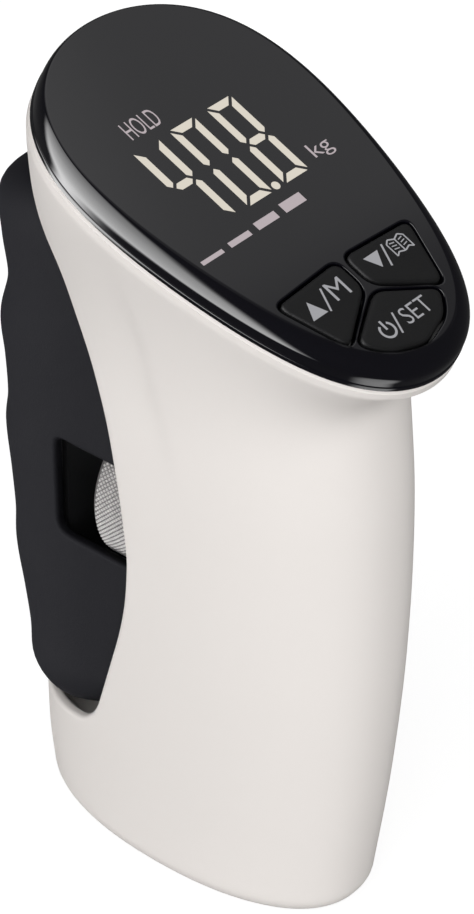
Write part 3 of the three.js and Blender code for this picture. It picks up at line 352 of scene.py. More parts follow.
class Sheet:
    """A curved sheet with an opening, given a wall and a rounded rim, as one closed body."""

    def __init__(self, surface, columns, rows, wrap, keep, rim, wall, rim_steps=5):
        self.surface, self.keep = surface, keep
        self.columns, self.rows, self.wrap = columns, rows, wrap
        self.rim, self.wall, self.rim_steps = rim, wall, rim_steps
        self.du = 1 / columns if wrap else 1 / (columns - 1)
        self.dt = 1 / (rows - 1)

    def field(self, u, t):
        return self.keep(self.surface(u, t)) - self.rim

    def normals(self, u, t):
        e = 0.05
        t0, t1 = np.clip(t - e * self.dt, 0, 1), np.clip(t + e * self.dt, 0, 1)
        u0, u1 = u - e * self.du, u + e * self.du
        if not self.wrap:
            u0, u1 = np.clip(u0, 0, 1), np.clip(u1, 0, 1)
        along = self.surface(u1, t) - self.surface(u0, t)
        up = self.surface(u, t1) - self.surface(u, t0)
        return unit(np.cross(along, up))

    def snap(self, u, t, values):
        """Slides grid points that lie close to the trim line onto it."""
        e = 0.02
        near = np.abs(values) < 1.5
        idx = np.nonzero(near)[0]
        for attempt in range(4):
            uu, tt = u[idx], t[idx]
            value = self.field(uu, tt)
            gu = (self.field(uu + e * self.du, tt) - value) / e
            gt = (self.field(uu, np.clip(tt + e * self.dt, 0, 1)) - value) / e
            g2 = np.maximum(gu * gu + gt * gt, 1e-9)
            if attempt == 0:
                close = np.abs(value) / np.sqrt(g2) < SNAP_REACH
                inner = (tt > 1.5 * self.dt) & (tt < 1 - 1.5 * self.dt)
                if not self.wrap:
                    inner &= (uu > 0.5 * self.du) & (uu < 1 - 0.5 * self.du)
                idx = idx[close & inner]
                continue
            u[idx] -= value * gu / g2 * self.du
            t[idx] -= value * gt / g2 * self.dt
        values[idx] = 0.0
        return values

    def crossings(self, ua, ta, ub, tb):
        low, high = np.zeros_like(ua), np.ones_like(ua)
        for _ in range(26):
            mid = (low + high) / 2
            kept = self.field(ua + (ub - ua) * mid, ta + (tb - ta) * mid) > 0
            low = np.where(kept, mid, low)
            high = np.where(kept, high, mid)
        return ua + (ub - ua) * low, ta + (tb - ta) * low

    def build(self):
        columns, rows = self.columns, self.rows
        uu = np.arange(columns) * self.du
        u, t = (g.ravel().copy() for g in np.meshgrid(uu, np.linspace(0, 1, rows)))
        values = self.snap(u, t, self.field(u, t))
        cells = columns if self.wrap else columns - 1
        right = (np.arange(cells) + 1) % columns
        base = np.arange(rows - 1)[:, None] * columns
        quads = np.stack([
            base + np.arange(cells), base + right, base + columns + right,
            base + columns + np.arange(cells),
        ], -1).reshape(-1, 4)
        sign = np.sign(values[quads])
        whole = (sign >= 0).all(1) & (sign > 0).any(1)
        mixed = (sign > 0).any(1) & (sign < 0).any(1)
        faces = [tuple(q) for q in quads[whole]]
        edges = {}
        for quad in quads[mixed]:
            for a, b in zip(quad, np.roll(quad, -1)):
                if values[a] * values[b] < 0:
                    edges[(a, b) if values[a] > 0 else (b, a)] = None
        keys = np.array(list(edges))
        ua, ub = u[keys[:, 0]], u[keys[:, 1]].copy()
        if self.wrap:
            ub += np.round(ua - ub)
        cu, ct = self.crossings(ua, t[keys[:, 0]], ub, t[keys[:, 1]])
        number = {tuple(k): len(u) + i for i, k in enumerate(keys)}
        u, t = np.concatenate([u, cu]), np.concatenate([t, ct])
        values = np.concatenate([values, np.zeros(len(cu))])
        for quad in quads[mixed]:
            ring = []
            for a, b in zip(quad, np.roll(quad, -1)):
                if values[a] >= 0:
                    ring.append(a)
                if values[a] * values[b] < 0:
                    ring.append(number[(a, b) if values[a] > 0 else (b, a)])
            if len(ring) > 2:
                faces.append(tuple(ring))
        return self.close(u, t, values == 0, faces)

    def close(self, u, t, on_trim, faces):
        points = self.surface(u, t)
        normals = self.normals(u, t)
        count = len(points)
        verts = [points, points - normals * self.wall]
        made = list(faces) + [tuple(count + v for v in reversed(f)) for f in faces]
        directed = {(f[i - 1], f[i]) for f in faces for i in range(len(f))}
        border = [(a, b) for a, b in directed if (b, a) not in directed]
        rim_edges = [(a, b) for a, b in border if on_trim[a] and on_trim[b]]
        for a, b in set(border) - set(rim_edges):
            made.append((b, a, count + a, count + b))
        rim_verts = np.array(sorted({v for e in rim_edges for v in e}), int)
        if len(rim_verts):
            place = {v: i for i, v in enumerate(rim_verts)}
            layers, rows = self.rim_rows(points[rim_verts], normals[rim_verts])
            start = 2 * count
            verts += rows

            def vertex(v, layer):
                if layer == 0:
                    return v
                if layer == layers + 1:
                    return count + v
                return start + (layer - 1) * len(rim_verts) + place[v]

            for a, b in rim_edges:
                for layer in range(layers + 1):
                    made.append((
                        vertex(b, layer), vertex(a, layer),
                        vertex(a, layer + 1), vertex(b, layer + 1),
                    ))
        return np.concatenate(verts), made

    def rim_rows(self, points, normals):
        """Rows of points that carry the sheet round its rim, from outside to inside."""
        e = 0.05
        slope = np.zeros_like(points)
        for axis in range(3):
            step = np.zeros(3)
            step[axis] = e
            slope[:, axis] = (self.keep(points + step) - self.keep(points - step)) / (2 * e)
        towards = -slope + (slope * normals).sum(1, keepdims=True) * normals
        towards = unit(towards)
        rows = []
        turns = np.linspace(0, math.pi / 2, self.rim_steps + 1)
        for a in turns[1:]:
            rows.append(points + self.rim * ((math.cos(a) - 1) * normals + math.sin(a) * towards))
        inner = points - (self.wall - self.rim) * normals
        for a in turns[:-1]:
            rows.append(inner + self.rim * (-math.sin(a) * normals + math.cos(a) * towards))
        return len(rows), rows


# ---------------- objects

def add_object(name, verts, faces, material, body, node=None, crease=35):
    """A named piece from points in millimetres, smooth except along creases."""
    mesh = bpy.data.meshes.new(name)
    mesh.from_pydata((np.asarray(verts, float) * MM).tolist(), [], [tuple(map(int, f)) for f in faces])
    bm = bmesh.new()
    bm.from_mesh(mesh)
    bmesh.ops.remove_doubles(bm, verts=bm.verts, dist=2e-7)
    bmesh.ops.dissolve_degenerate(bm, edges=bm.edges, dist=1e-7)
    loose = [v for v in bm.verts if not v.link_faces]
    bmesh.ops.delete(bm, geom=loose, context="VERTS")
    for face in bm.faces:
        face.smooth = True
    limit = math.radians(crease)
    for edge in bm.edges:
        if edge.is_manifold and edge.calc_face_angle() > limit:
            edge.smooth = False
    bm.to_mesh(mesh)
    bm.free()
    mesh.materials.append(material)
    obj = bpy.data.objects.new(name, mesh)
    bpy.context.scene.collection.objects.link(obj)
    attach(obj, body)
    if node:
        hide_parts(*([node] if isinstance(node, str) else node))
    return obj


def loft_faces(loops, count, first=0, closed_ends=(True, True)):
    """Faces over a stack of loops of equal length, with flat ends."""
    faces = []
    for row in range(loops - 1):
        for i in range(count):
            j = (i + 1) % count
            a, b = first + row * count, first + (row + 1) * count
            faces.append((a + i, a + j, b + j, b + i))
    if closed_ends[0]:
        faces.append(tuple(reversed(range(first, first + count))))
    if closed_ends[1]:
        faces.append(tuple(range(first + (loops - 1) * count, first + loops * count)))
    return faces


# ---------------- materials

def nodes_for(name):
    material = bpy.data.materials.new(name)
    material.use_nodes = True
    tree = material.node_tree
    return material, tree, tree.nodes["Principled BSDF"]


def mapped(tree, value, start, stop, low=0.0, high=1.0):
    """A node that maps a value from start..stop to low..high and holds it at both ends."""
    node = tree.nodes.new("ShaderNodeMapRange")
    tree.links.new(value, node.inputs["Value"])
    ends = {"From Min": start, "From Max": stop, "To Min": low, "To Max": high}
    for name, number in ends.items():
        node.inputs[name].default_value = number
    return node


def worked(tree, kind, operation, *values):
    """One step of arithmetic on values that are sockets, numbers or vectors."""
    node = tree.nodes.new(kind)
    node.operation = operation
    for socket, value in zip(node.inputs, values):
        if isinstance(value, bpy.types.NodeSocket):
            tree.links.new(value, socket)
        else:
            socket.default_value = value
    return node


def noise(tree, place, scale, detail=2.0):
    node = tree.nodes.new("ShaderNodeTexNoise")
    node.inputs["Scale"].default_value = scale
    node.inputs["Detail"].default_value = detail
    if place:
        tree.links.new(place, node.inputs["Vector"])
    return node.outputs["Fac"]


def colours(tree, share, first, second):
    """A mix of two colours, each a socket or three numbers."""
    node = tree.nodes.new("ShaderNodeMix")
    node.data_type = "RGBA"
    tree.links.new(share, node.inputs["Factor"])
    for name, colour in (("A", first), ("B", second)):
        if isinstance(colour, bpy.types.NodeSocket):
            tree.links.new(colour, node.inputs[name])
        else:
            node.inputs[name].default_value = (*colour, 1)
    return node.outputs["Result"]


def object_place(tree):
    return tree.nodes.new("ShaderNodeTexCoord").outputs["Object"]


def set_inputs(shader, **values):
    for name, value in values.items():
        shader.inputs[name.replace("_", " ")].default_value = value


# Painted shade: a surface shows none of its colour below the first share of open sky, and all above the
# second.
PAINTED_SHADE_SHARES = (0.35, 0.85)
DRIFT_SCALE = 34
RELIEF_DEPTH = 0.2 * MM


def painted_shade_inside(tree, colour, reach):
    """The same colour with painted shade: it loses its light where other surfaces stand closer than the
    reach.
    """
    shelter = tree.nodes.new("ShaderNodeAmbientOcclusion")
    shelter.inputs["Distance"].default_value = reach
    shelter.samples = 8
    share = mapped(tree, shelter.outputs["AO"], *PAINTED_SHADE_SHARES).outputs["Result"]
    return colours(tree, share, (0, 0, 0), colour)


def textured(name, colour, roughness, *, metallic=0.0, grain=900.0, bump=0.05, tint=0.04,
             rough_spread=0.06, coat=0.0, specular=0.5, painted_shade_reach=None):
    """A procedural finish: fine grain in its bump, slow drift in its colour and gloss, and painted shade in
    hollows when given a reach.
    """
    material, tree, shader = nodes_for(name)
    place = object_place(tree)
    drift = noise(tree, place, DRIFT_SCALE, 3)
    darker = [c * (1 - tint) for c in colour]
    lighter = [min(c * (1 + tint), 1) for c in colour]
    finish = colours(tree, drift, darker, lighter)
    # Painted shade: the colour darkens to black where other surfaces stand within the reach.
    if painted_shade_reach:
        finish = painted_shade_inside(tree, finish, painted_shade_reach)
    tree.links.new(finish, shader.inputs["Base Color"])
    smooth, rough = max(roughness - rough_spread, 0.02), roughness + rough_spread
    gloss = mapped(tree, drift, 0.0, 1.0, smooth, rough)
    tree.links.new(gloss.outputs["Result"], shader.inputs["Roughness"])
    relief = tree.nodes.new("ShaderNodeBump")
    relief.inputs["Strength"].default_value = bump
    relief.inputs["Distance"].default_value = RELIEF_DEPTH
    tree.links.new(noise(tree, place, grain, 4), relief.inputs["Height"])
    tree.links.new(relief.outputs["Normal"], shader.inputs["Normal"])
    set_inputs(shader, Metallic=metallic, Coat_Weight=coat, Specular_IOR_Level=specular)
    return material


# Painted shade darkens the knurl's grooves towards their bottoms; a noise adds random stain on top.
KNURL_CREST_SHARE = 0.15
KNURL_STAIN_SCALE = 700
KNURL_STAIN = 0.3
KNURL_SHADE_AND_STAIN = (0.09, 0.085, 0.085)
KNURL_METAL = (0.72, 0.7, 0.69)


def knurled(name):
    """Bright steel with painted shade in its grooves, darker by their distance from the wheel's axis, and
    random stain patches.
    """
    material, tree, shader = nodes_for(name)
    low, high = (np.array(corner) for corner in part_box("adjust_wheel"))
    radius = (high[0] - low[0]) / 2
    axis = (0, 0, (low[2] + high[2]) / 2)
    depth = KNURL_DEPTH * MM
    place = object_place(tree)
    offset = worked(tree, "ShaderNodeVectorMath", "SUBTRACT", place, axis).outputs["Vector"]
    across = worked(tree, "ShaderNodeVectorMath", "MULTIPLY", offset, (1, 0, 1)).outputs["Vector"]
    reach = worked(tree, "ShaderNodeVectorMath", "LENGTH", across).outputs["Value"]
    # Painted shade: the colour darkens towards the groove bottoms, by distance from the axis.
    level = mapped(tree, reach, radius - depth, radius - depth * KNURL_CREST_SHARE)
    stain = noise(tree, place, KNURL_STAIN_SCALE)
    stain = worked(tree, "ShaderNodeMath", "MULTIPLY", stain, KNURL_STAIN).outputs[0]
    metal_share = worked(tree, "ShaderNodeMath", "SUBTRACT", level.outputs["Result"], stain).outputs[0]
    tone = colours(tree, metal_share, KNURL_SHADE_AND_STAIN, KNURL_METAL)
    tree.links.new(tone, shader.inputs["Base Color"])
    set_inputs(shader, Roughness=0.45, Metallic=0.08, Specular_IOR_Level=0.2)
    return material


def glowing_mark(name, colour, strength):
    """A mark that glows nearly evenly: the display's lit digits, and printed marks given a painted glow."""
    material, tree, shader = nodes_for(name)
    level = mapped(tree, noise(tree, None, 160), 0.0, 1.0, strength * 0.9, strength * 1.1)
    tree.links.new(level.outputs["Result"], shader.inputs["Emission Strength"])
    set_inputs(shader, Emission_Color=(*colour, 1), Base_Color=(0.02, 0.02, 0.02, 1), Roughness=0.4)
    return material


WHITE = textured(
    "white_plastic", (0.82, 0.78, 0.75), 0.42, grain=1400, bump=0.05, tint=0.012, specular=0.04,
)
# The black plastic carries painted shade within 12 mm of other surfaces, so the grip's inside reads black.
BLACK = textured(
    "black_plastic", (0.0062, 0.0062, 0.0078), 0.6, grain=2600, bump=0.22, tint=0.08,
    specular=0.045, painted_shade_reach=12 * MM,
)
GLOSS = textured("gloss_panel", (0.0022, 0.002, 0.004), 0.07, grain=500, bump=0.0, rough_spread=0.01)
KEY = textured("key_plastic", (0.0085, 0.0085, 0.009), 0.5, grain=2600, bump=0.1, tint=0.05, specular=0.3)
STEEL = textured("knurled_steel", (0.6, 0.585, 0.57), 0.5, metallic=0.08, grain=1800, bump=0.08, specular=0.2)
KNURL = knurled("knurled_rim")
ROD = textured("ground_steel", (0.56, 0.57, 0.58), 0.2, metallic=1.0, grain=1800, bump=0.05)
ZINC = textured("zinc_plate", (0.5, 0.51, 0.52), 0.34, metallic=1.0, grain=1200, bump=0.06)
ALUMINIUM = textured("machined_aluminium", (0.66, 0.67, 0.68), 0.3, metallic=1.0, grain=1500)
BRONZE = textured("sintered_bronze", (0.42, 0.24, 0.1), 0.4, metallic=1.0, grain=1600, bump=0.1)
FRAME = textured("frame_plastic", (0.012, 0.0122, 0.013), 0.5, grain=1200, bump=0.15, specular=0.1)
BOARD = textured("board_green", (0.012, 0.1, 0.036), 0.35, grain=700, bump=0.08, coat=0.4)
CELL = textured("battery_wrap", (0.03, 0.075, 0.2), 0.28, grain=700, bump=0.03, coat=0.3)
WIRE = textured("wire_sleeve", (0.22, 0.012, 0.012), 0.45, grain=900)
# The digits glow as a lit display does; the printed panel marks and key legends get a painted glow.
LED = glowing_mark("led_light", (1.0, 0.93, 0.8), 0.68)
MARK = glowing_mark("panel_print_painted_glow", (0.9, 0.78, 0.82), 0.5)
LEGEND = glowing_mark("key_print_painted_glow", (0.9, 0.9, 0.95), 0.36)

SLOT_FINISH = {
    "shell_white": WHITE, "grip_black": BLACK, "display_gloss": GLOSS, "key_black": KEY,
    "frame_grey": FRAME, "knurled_steel": STEEL, "rod_steel": ROD, "zinc_plated": ZINC,
    "cell_aluminium": ALUMINIUM, "bronze": BRONZE, "circuit_board": BOARD, "battery_wrap": CELL,
    "wire_red": WIRE,
}


def finish_frame_nodes():
    """Gives every CAD node that stays on show the finish of its material slot."""
    slots = {part["node"]: part["material_slot"] for part in frame["record"]["subparts"]}
    for name, obj in frame["nodes"].items():
        obj.data.materials.clear()
        obj.data.materials.append(SLOT_FINISH[slots[name]])


# ---------------- the shell

def toe_floor():
    """The scooped floor of the toe under the grip, with its edges sunk in the shell's wall."""
    columns, rows = 60, 44
    rear, sink, level = TOE_FLOOR_REAR_Y, TOE_FLOOR_SINK, TOE_FLOOR_LEVEL
    a, b = np.meshgrid(np.linspace(-1, 1, columns), np.linspace(0, 1, rows))
    centre = float(palm_y(level) + finger_y(level)) / 2
    reach = float(finger_y(level) - palm_y(level)) / 2 - WALL
    width = float(half_width(level)) - WALL
    far = centre + reach + sink
    y = rear + (far - rear) * np.sin(b * math.pi / 2)
    share = np.clip((y - centre) / (reach + sink), 0, 1)
    x = a * (width + sink) * (1 - share ** SQUARENESS) ** (1 / SQUARENESS)
    qx, qy = np.abs(x) / width, np.abs(y - centre) / reach
    radius = np.maximum((qx ** SQUARENESS + qy ** SQUARENESS) ** (1 / SQUARENESS), 1e-6)
    grow = np.hypot(
        (qx / radius) ** (SQUARENESS - 1) / width, (qy / radius) ** (SQUARENESS - 1) / reach
    )
    inward = np.clip((1 - radius) / np.maximum(grow, 1e-6), 0, TOE_SCOOP)
    drop = np.sqrt(TOE_SCOOP ** 2 - (TOE_SCOOP - inward) ** 2)
    top = toe_z(y) - TOE_FLOOR_DROP - drop
    upper = np.stack([x, y, top], -1).reshape(-1, 3)
    lower = np.stack([x, y, top - TOE_FLOOR_WALL], -1).reshape(-1, 3)
    count = rows * columns
    faces = []
    for r in range(rows - 1):
        for c in range(columns - 1):
            near, beyond = r * columns + c, (r + 1) * columns + c
            q = (near, near + 1, beyond + 1, beyond)
            faces.append(q)
            faces.append(tuple(count + v for v in reversed(q)))
    border = (
        [(c, c + 1) for c in range(columns - 1)]
        + [(r * columns + columns - 1, (r + 1) * columns + columns - 1) for r in range(rows - 1)]
        + [((rows - 1) * columns + c + 1, (rows - 1) * columns + c) for c in range(columns - 1)]
        + [((r + 1) * columns, r * columns) for r in range(rows - 1)]
    )
    faces += [(b2, a2, count + a2, count + b2) for a2, b2 in border]
    return np.concatenate([upper, lower]), faces


def build_shell():
    rows = 1 + FOOT_ROWS + COLUMN_ROWS + LIP_ROWS + 1
    opening = signed_distance(opening_outline())
    sheet = Sheet(shell_surface, SHELL_COLUMNS, rows, True, opening, rim=SHELL_RIM, wall=WALL)
    verts, faces = sheet.build()
    floor_verts, floor_faces = toe_floor()
    faces += [tuple(len(verts) + v for v in f) for f in floor_faces]
    verts = np.concatenate([verts, floor_verts])
    add_object("shell_surface", verts, faces, WHITE, "housing", "main_shell")


# ---------------- the grip

GRIP_CAP_ROWS = 10
GRIP_EDGE_ROWS = 12
GRIP_BODY_ROWS = 120
GRIP_COLUMNS = 150
GRIP_RIM = 0.7
GRIP_SIDE_SHARE = 0.16      # the share of each column that runs straight back to the rear edge
GRIP_FRONT_POWER = 0.92
GRIP_MIDDLE_Y = 12.0
GRIP_ROUND_NARROWING = 0.3
GRIP_RIDGE_LEAN = 3


def grip_surface(u, t):
    """The outside of the grip, from its right rear edge round the fingers to its left one."""
    total = 2 * (GRIP_CAP_ROWS + GRIP_EDGE_ROWS) + GRIP_BODY_ROWS
    row = t * total
    end_row = np.minimum(row, total - row)
    cap = np.clip(end_row / GRIP_CAP_ROWS, 0, 1)
    edge = np.clip((end_row - GRIP_CAP_ROWS) / GRIP_EDGE_ROWS, 0, 1) * math.pi / 2
    pulled = GRIP_ROUND * (1 - np.sin(edge))
    height = GRIP_TOP - GRIP_BOTTOM
    straight = np.clip(end_row - GRIP_CAP_ROWS - GRIP_EDGE_ROWS, 0, None)
    body = straight / (GRIP_BODY_ROWS / 2) * (height / 2 - GRIP_ROUND)
    level = GRIP_ROUND * (1 - np.cos(edge)) + body
    level = np.where(row > total / 2, height - level, level)
    z = GRIP_BOTTOM + level
    width = GRIP_HALF_WIDTH - pulled * GRIP_ROUND_NARROWING
    tilt = np.maximum(1 - (z - GRIP_BOTTOM) / (GRIP_SLANT_END - GRIP_BOTTOM), 0)
    rise = np.maximum((z - GRIP_TOP_SLANT) / (GRIP_TOP - GRIP_TOP_SLANT), 0)
    ridge = ridge_y(z - GRIP_RIDGE_LEAN * tilt) - pulled
    side = GRIP_SIDE_SHARE
    angle = np.clip((u - side) / (1 - 2 * side), 0, 1) * math.pi
    back = np.clip(np.maximum(side - u, u - 1 + side) / side, 0, 1)
    x = width * squared(np.cos(angle))
    forward = np.maximum(np.sin(angle), 0) ** GRIP_FRONT_POWER
    front = GRIP_SHOULDER_Y + (ridge - GRIP_SHOULDER_Y) * forward
    y = front + (GRIP_REAR_Y - GRIP_SHOULDER_Y) * back
    x = x * cap
    y = GRIP_MIDDLE_Y + (y - GRIP_MIDDLE_Y) * cap
    behind = np.minimum(y - GRIP_TOP_PIVOT_Y, 0)
    z = z + tilt * GRIP_SLOPE * (y - GRIP_PIVOT_Y) + rise * GRIP_TOP_SLOPE * behind
    return np.stack([x, y, z], -1)


def build_grip():
    window = rounded_polygon([
        (WINDOW_REAR_Y, WINDOW_Z[0]), (WINDOW_Y, WINDOW_Z[0]),
        (WINDOW_Y, WINDOW_Z[1]), (WINDOW_REAR_Y, WINDOW_Z[1]),
    ], WINDOW_ROUND, 10)
    window_distance = signed_distance(window)

    def keep(points):
        half, rear, top = GRIP_FLOOR_CUT
        x, y, z = np.abs(points[..., 0]), points[..., 1], points[..., 2]
        floor_cut = np.maximum(np.maximum(x - half, y - rear), z - top)
        return np.minimum(window_distance(points), floor_cut)

    rows = 2 * (GRIP_CAP_ROWS + GRIP_EDGE_ROWS) + GRIP_BODY_ROWS + 1
    sheet = Sheet(grip_surface, GRIP_COLUMNS, rows, False, keep, rim=GRIP_RIM, wall=GRIP_WALL)
    verts, faces = sheet.build()
    add_object("grip_surface", verts, faces, BLACK, "grip", "grip_shell")


# ---------------- display cover and keys

def grown(points, distance):
    """Corner points run clockwise, moved outwards by a distance."""
    moved = []
    for i, (x, y) in enumerate(points):
        px, py = points[i - 1]
        nx, ny = points[(i + 1) % len(points)]
        before = unit(np.array([x - px, y - py], float))
        after = unit(np.array([nx - x, ny - y], float))
        left = np.array([-before[1], before[0]])
        side = unit(left + np.array([-after[1], after[0]]))
        moved.append(tuple(np.array([x, y]) + side * distance / side.dot(left)))
    return moved


def mirrored(points):
    return [(-x, y) for x, y in reversed(points)]


KEYS = {"key_up": SIDE_KEY, "key_down": mirrored(SIDE_KEY), "key_power": POWER_KEY}


def key_loop(points, growth):
    """A key's rounded outline, run anticlockwise, grown or shrunk by a distance."""
    return rounded_polygon(grown(points, growth), KEY_CORNER + max(growth, -0.6), 7)[::-1]


GROOVE = 0.5
GROOVE_BOTTOM = -1.6
LEDGE = 0.14
LEDGE_HEIGHT = -0.1
# Narrow flat borders inside the rim and round each well, so the face between them shades flat.
FLAT_START = 0.2
WELL_BORDER = 0.08
WELL_EDGE = 0.22
RIM_INNER = 2.6
KEY_EDGE = 0.5


def build_cover():
    count = 300
    angles = np.arange(count) / count * TURN
    heights = profile([(i, h) for i, (h, _) in enumerate(COVER_RIM)])
    shares = profile([(i, d) for i, (_, d) in enumerate(COVER_RIM)])
    roll = ROLL_WIDTH - ROLL_WIDENING * np.sin(angles)
    loops = [
        on_head(*egg(angles, RIM_INNER), GROOVE_BOTTOM), on_head(*egg(angles, GROOVE), GROOVE_BOTTOM),
        on_head(*egg(angles, GROOVE), COVER_BOTTOM), on_head(*egg(angles, 0.1), COVER_BOTTOM),
        on_head(*egg(angles, 0.0), COVER_BOTTOM + 0.1),
    ]
    for a in np.linspace(0, math.pi / 2, 6):
        inset, height = LEDGE * (1 - math.cos(a)), LEDGE_HEIGHT + LEDGE * math.sin(a)
        loops.append(on_head(*egg(angles, inset), height))
    for s in np.linspace(0.55, len(COVER_RIM) - 1, 40):
        loops.append(on_head(*egg(angles, LEDGE + np.maximum(shares(s), 0) * roll), heights(s)))
    loops.append(on_head(*egg(angles, LEDGE + roll + FLAT_START), COVER_TOP))
    verts = np.concatenate(loops)
    faces = loft_faces(len(loops), count, 0, (True, False))
    outer = list(range(len(verts) - count, len(verts)))
    holes = []
    for points in KEYS.values():
        first = len(verts)
        edge = WELL_EDGE
        rows = [(KEY_GAP + edge + WELL_BORDER, COVER_TOP)]
        for a in np.linspace(0, math.pi / 2, 5):
            rows.append((KEY_GAP + edge * (1 - math.sin(a)), COVER_TOP - edge * (1 - math.cos(a))))
        rows.append((KEY_GAP, KEY_FOOT - WELL_CLEARANCE))
        well = []
        for growth, height in rows:
            loop = np.array(key_loop(points, growth))
            well.append(on_panel(loop[:, 0], loop[:, 1], height))
        size = len(well[0])
        verts = np.concatenate([verts, *well])
        for row in range(len(well) - 1):
            a, b = first + row * size, first + (row + 1) * size
            faces += [(a + i, b + i, b + (i + 1) % size, a + (i + 1) % size) for i in range(size)]
        faces.append(tuple(range(first + (len(well) - 1) * size, first + len(well) * size)))
        holes.append(list(range(first, first + size)))
    loops_2d = [outer] + [hole[::-1] for hole in holes]
    slant = math.cos(HEAD_TILT)
    flat = [[Vector((verts[v][0], verts[v][1] / slant, 0)) for v in loop] for loop in loops_2d]
    order = [v for loop in loops_2d for v in loop]
    for tri in tessellate_polygon(flat):
        a, b, c = (order[i] for i in tri)
        area = np.cross(verts[b][:2] - verts[a][:2], verts[c][:2] - verts[a][:2])
        faces.append((a, b, c) if area > 0 else (a, c, b))
    add_object(
        "cover_surface", verts, faces, GLOSS, "housing", "display_cover", 30,
    )


def build_key(name, points):
    edge = KEY_EDGE
    rows = [(0.0, KEY_FOOT), (0.0, KEY_TOP - edge)]
    for a in np.linspace(0, math.pi / 2, 7)[1:]:
        rows.append((-edge * (1 - math.cos(a)), KEY_TOP - edge * (1 - math.sin(a))))
    rows += [(-0.8, KEY_TOP + 0.02)]
    loops = []
    for growth, height in rows:
        loop = np.array(key_loop(points, growth))
        loops.append(on_panel(loop[:, 0], loop[:, 1], height))
    verts = np.concatenate(loops)
    faces = loft_faces(len(loops), len(loops[0]))
    add_object(name + "_cap", verts, faces, KEY, name, name, 30)


# ---------------- digits and marks

DIGIT_WIDTH, DIGIT_HEIGHT, STROKE, STROKE_GAP = 5.75, 17.3, 1.35, 0.4
SEGMENTS = {"4": "fgbc", "0": "abcdef", "8": "abcdefg"}
DIGITS = [("4", -13.2), ("0", -4.8), ("8", 3.8)]
DIGIT_BASE = -1.1
MARK_SINK = 0.005
MARK_RISE = 0.03
BAR_WIDTH, BAR_STEP = 4.8, 6.4
BAR_HEIGHTS = (0.75, 1.0, 1.45, 1.85)
BARS_START = (-19.6, -5.2)


def segment_outline(key):
    """One stroke of a seven-stroke digit, with mitred ends, from the digit's lower left."""
    w, h, t, g = DIGIT_WIDTH, DIGIT_HEIGHT, STROKE, STROKE_GAP
    half = t / 2
    if key in "agd":
        y = {"a": h - half, "g": h / 2, "d": half}[key]
        x0, x1 = half + g, w - half - g
        inner = (x0 + half, x1 - half)
        if key == "g":
            upper = [(x0, y), (inner[0], y + half), (inner[1], y + half)]
            return upper + [(x1, y), (inner[1], y - half), (inner[0], y - half)]
        long_side = half if key == "a" else -half
        return [
            (x0 - half, y + long_side), (x1 + half, y + long_side),
            (inner[1], y - long_side), (inner[0], y - long_side),
        ]
    left = key in "fe"
    upper = key in "fb"
    y0, y1 = (h / 2 + g, h - g) if upper else (g, h / 2 - g)
    outer, inner = (0, t) if left else (w, w - t)
    middle = (outer + inner) / 2
    if upper:
        return [(outer, y0 + half), (outer, y1), (inner, y1 - t), (inner, y0 + half), (middle, y0)]
    return [(outer, y0), (outer, y1 - half), (middle, y1), (inner, y1 - half), (inner, y0 + t)]


def add_mark(name, outline, body, material, base=COVER_TOP):
    """A thin raised mark with the given outline on the display's face or a key."""
    points = np.array(outline, float)
    area = np.cross(points, np.roll(points, -1, axis=0)).sum()
    if area < 0:
        points = points[::-1]
    loops = [on_panel(points[:, 0], points[:, 1], base + h) for h in (MARK_SINK, MARK_RISE)]
    faces = loft_faces(2, len(points))
    add_object(name, np.concatenate(loops), faces, material, body, None, 30)


def build_digits():
    for place, (digit, x) in enumerate(DIGITS):
        for key in SEGMENTS[digit]:
            outline = [(x + px, DIGIT_BASE + py) for px, py in segment_outline(key)]
            add_mark(f"digit_{place + 1}_{key}", outline, "housing", LED)
    dot = arc((2.2, -0.5), 0.75, 0, 345, 24)
    add_mark("digit_dot", dot, "housing", LED)
    for i, tall in enumerate(BAR_HEIGHTS):
        x, y = BARS_START[0] + i * BAR_STEP, BARS_START[1]
        bar = [(x, y), (x + BAR_WIDTH, y), (x + BAR_WIDTH, y + tall), (x, y + tall)]
        add_mark(f"bar_{i + 1}", bar, "housing", MARK)


TEXT_THINNING = -0.006


def add_text(name, words, low, high, body, material, base):
    """Plain lettering for a unit or a function, fitted to a box on the panel."""
    curve = bpy.data.curves.new(name, "FONT")
    curve.body = words
    curve.extrude = 0.012
    curve.offset = TEXT_THINNING
    curve.resolution_u = 4
    text = bpy.data.objects.new(name + "_text", curve)
    bpy.context.scene.collection.objects.link(text)
    bpy.context.view_layer.update()
    graph = bpy.context.evaluated_depsgraph_get()
    mesh = bpy.data.meshes.new_from_object(text.evaluated_get(graph))
    bpy.data.objects.remove(text)
    local = np.array([v.co for v in mesh.vertices])
    faces = [tuple(p.vertices) for p in mesh.polygons]
    bpy.data.meshes.remove(mesh)
    corner, reach = local[:, :2].min(0), np.ptp(local[:, :2], axis=0)
    flat = np.array(low) + (local[:, :2] - corner) / reach * (np.array(high) - np.array(low))
    verts = on_panel(flat[:, 0], flat[:, 1], base + 0.02 + local[:, 2])
    return add_object(name, verts, faces, material, body, None, 30)


STROKE_STEP = 0.22


def stroke(points, width):
    """The outline of a thin line drawn through points."""
    corners = np.array(points, float)
    run = np.concatenate([[0], np.cumsum(np.linalg.norm(np.diff(corners, axis=0), axis=1))])
    at = np.linspace(0, run[-1], max(int(run[-1] / STROKE_STEP), 2))
    line = np.stack([np.interp(at, run, corners[:, i]) for i in (0, 1)], -1)
    ahead = unit(np.gradient(line, axis=0))
    side = np.stack([-ahead[:, 1], ahead[:, 0]], -1) * width / 2
    return np.concatenate([line + side, (line - side)[::-1]])


LINE = 0.34
BOOK_LINE = LINE * 0.75
FINE_LINE = LINE * 0.55
BOLD_LINE = LINE * 1.2


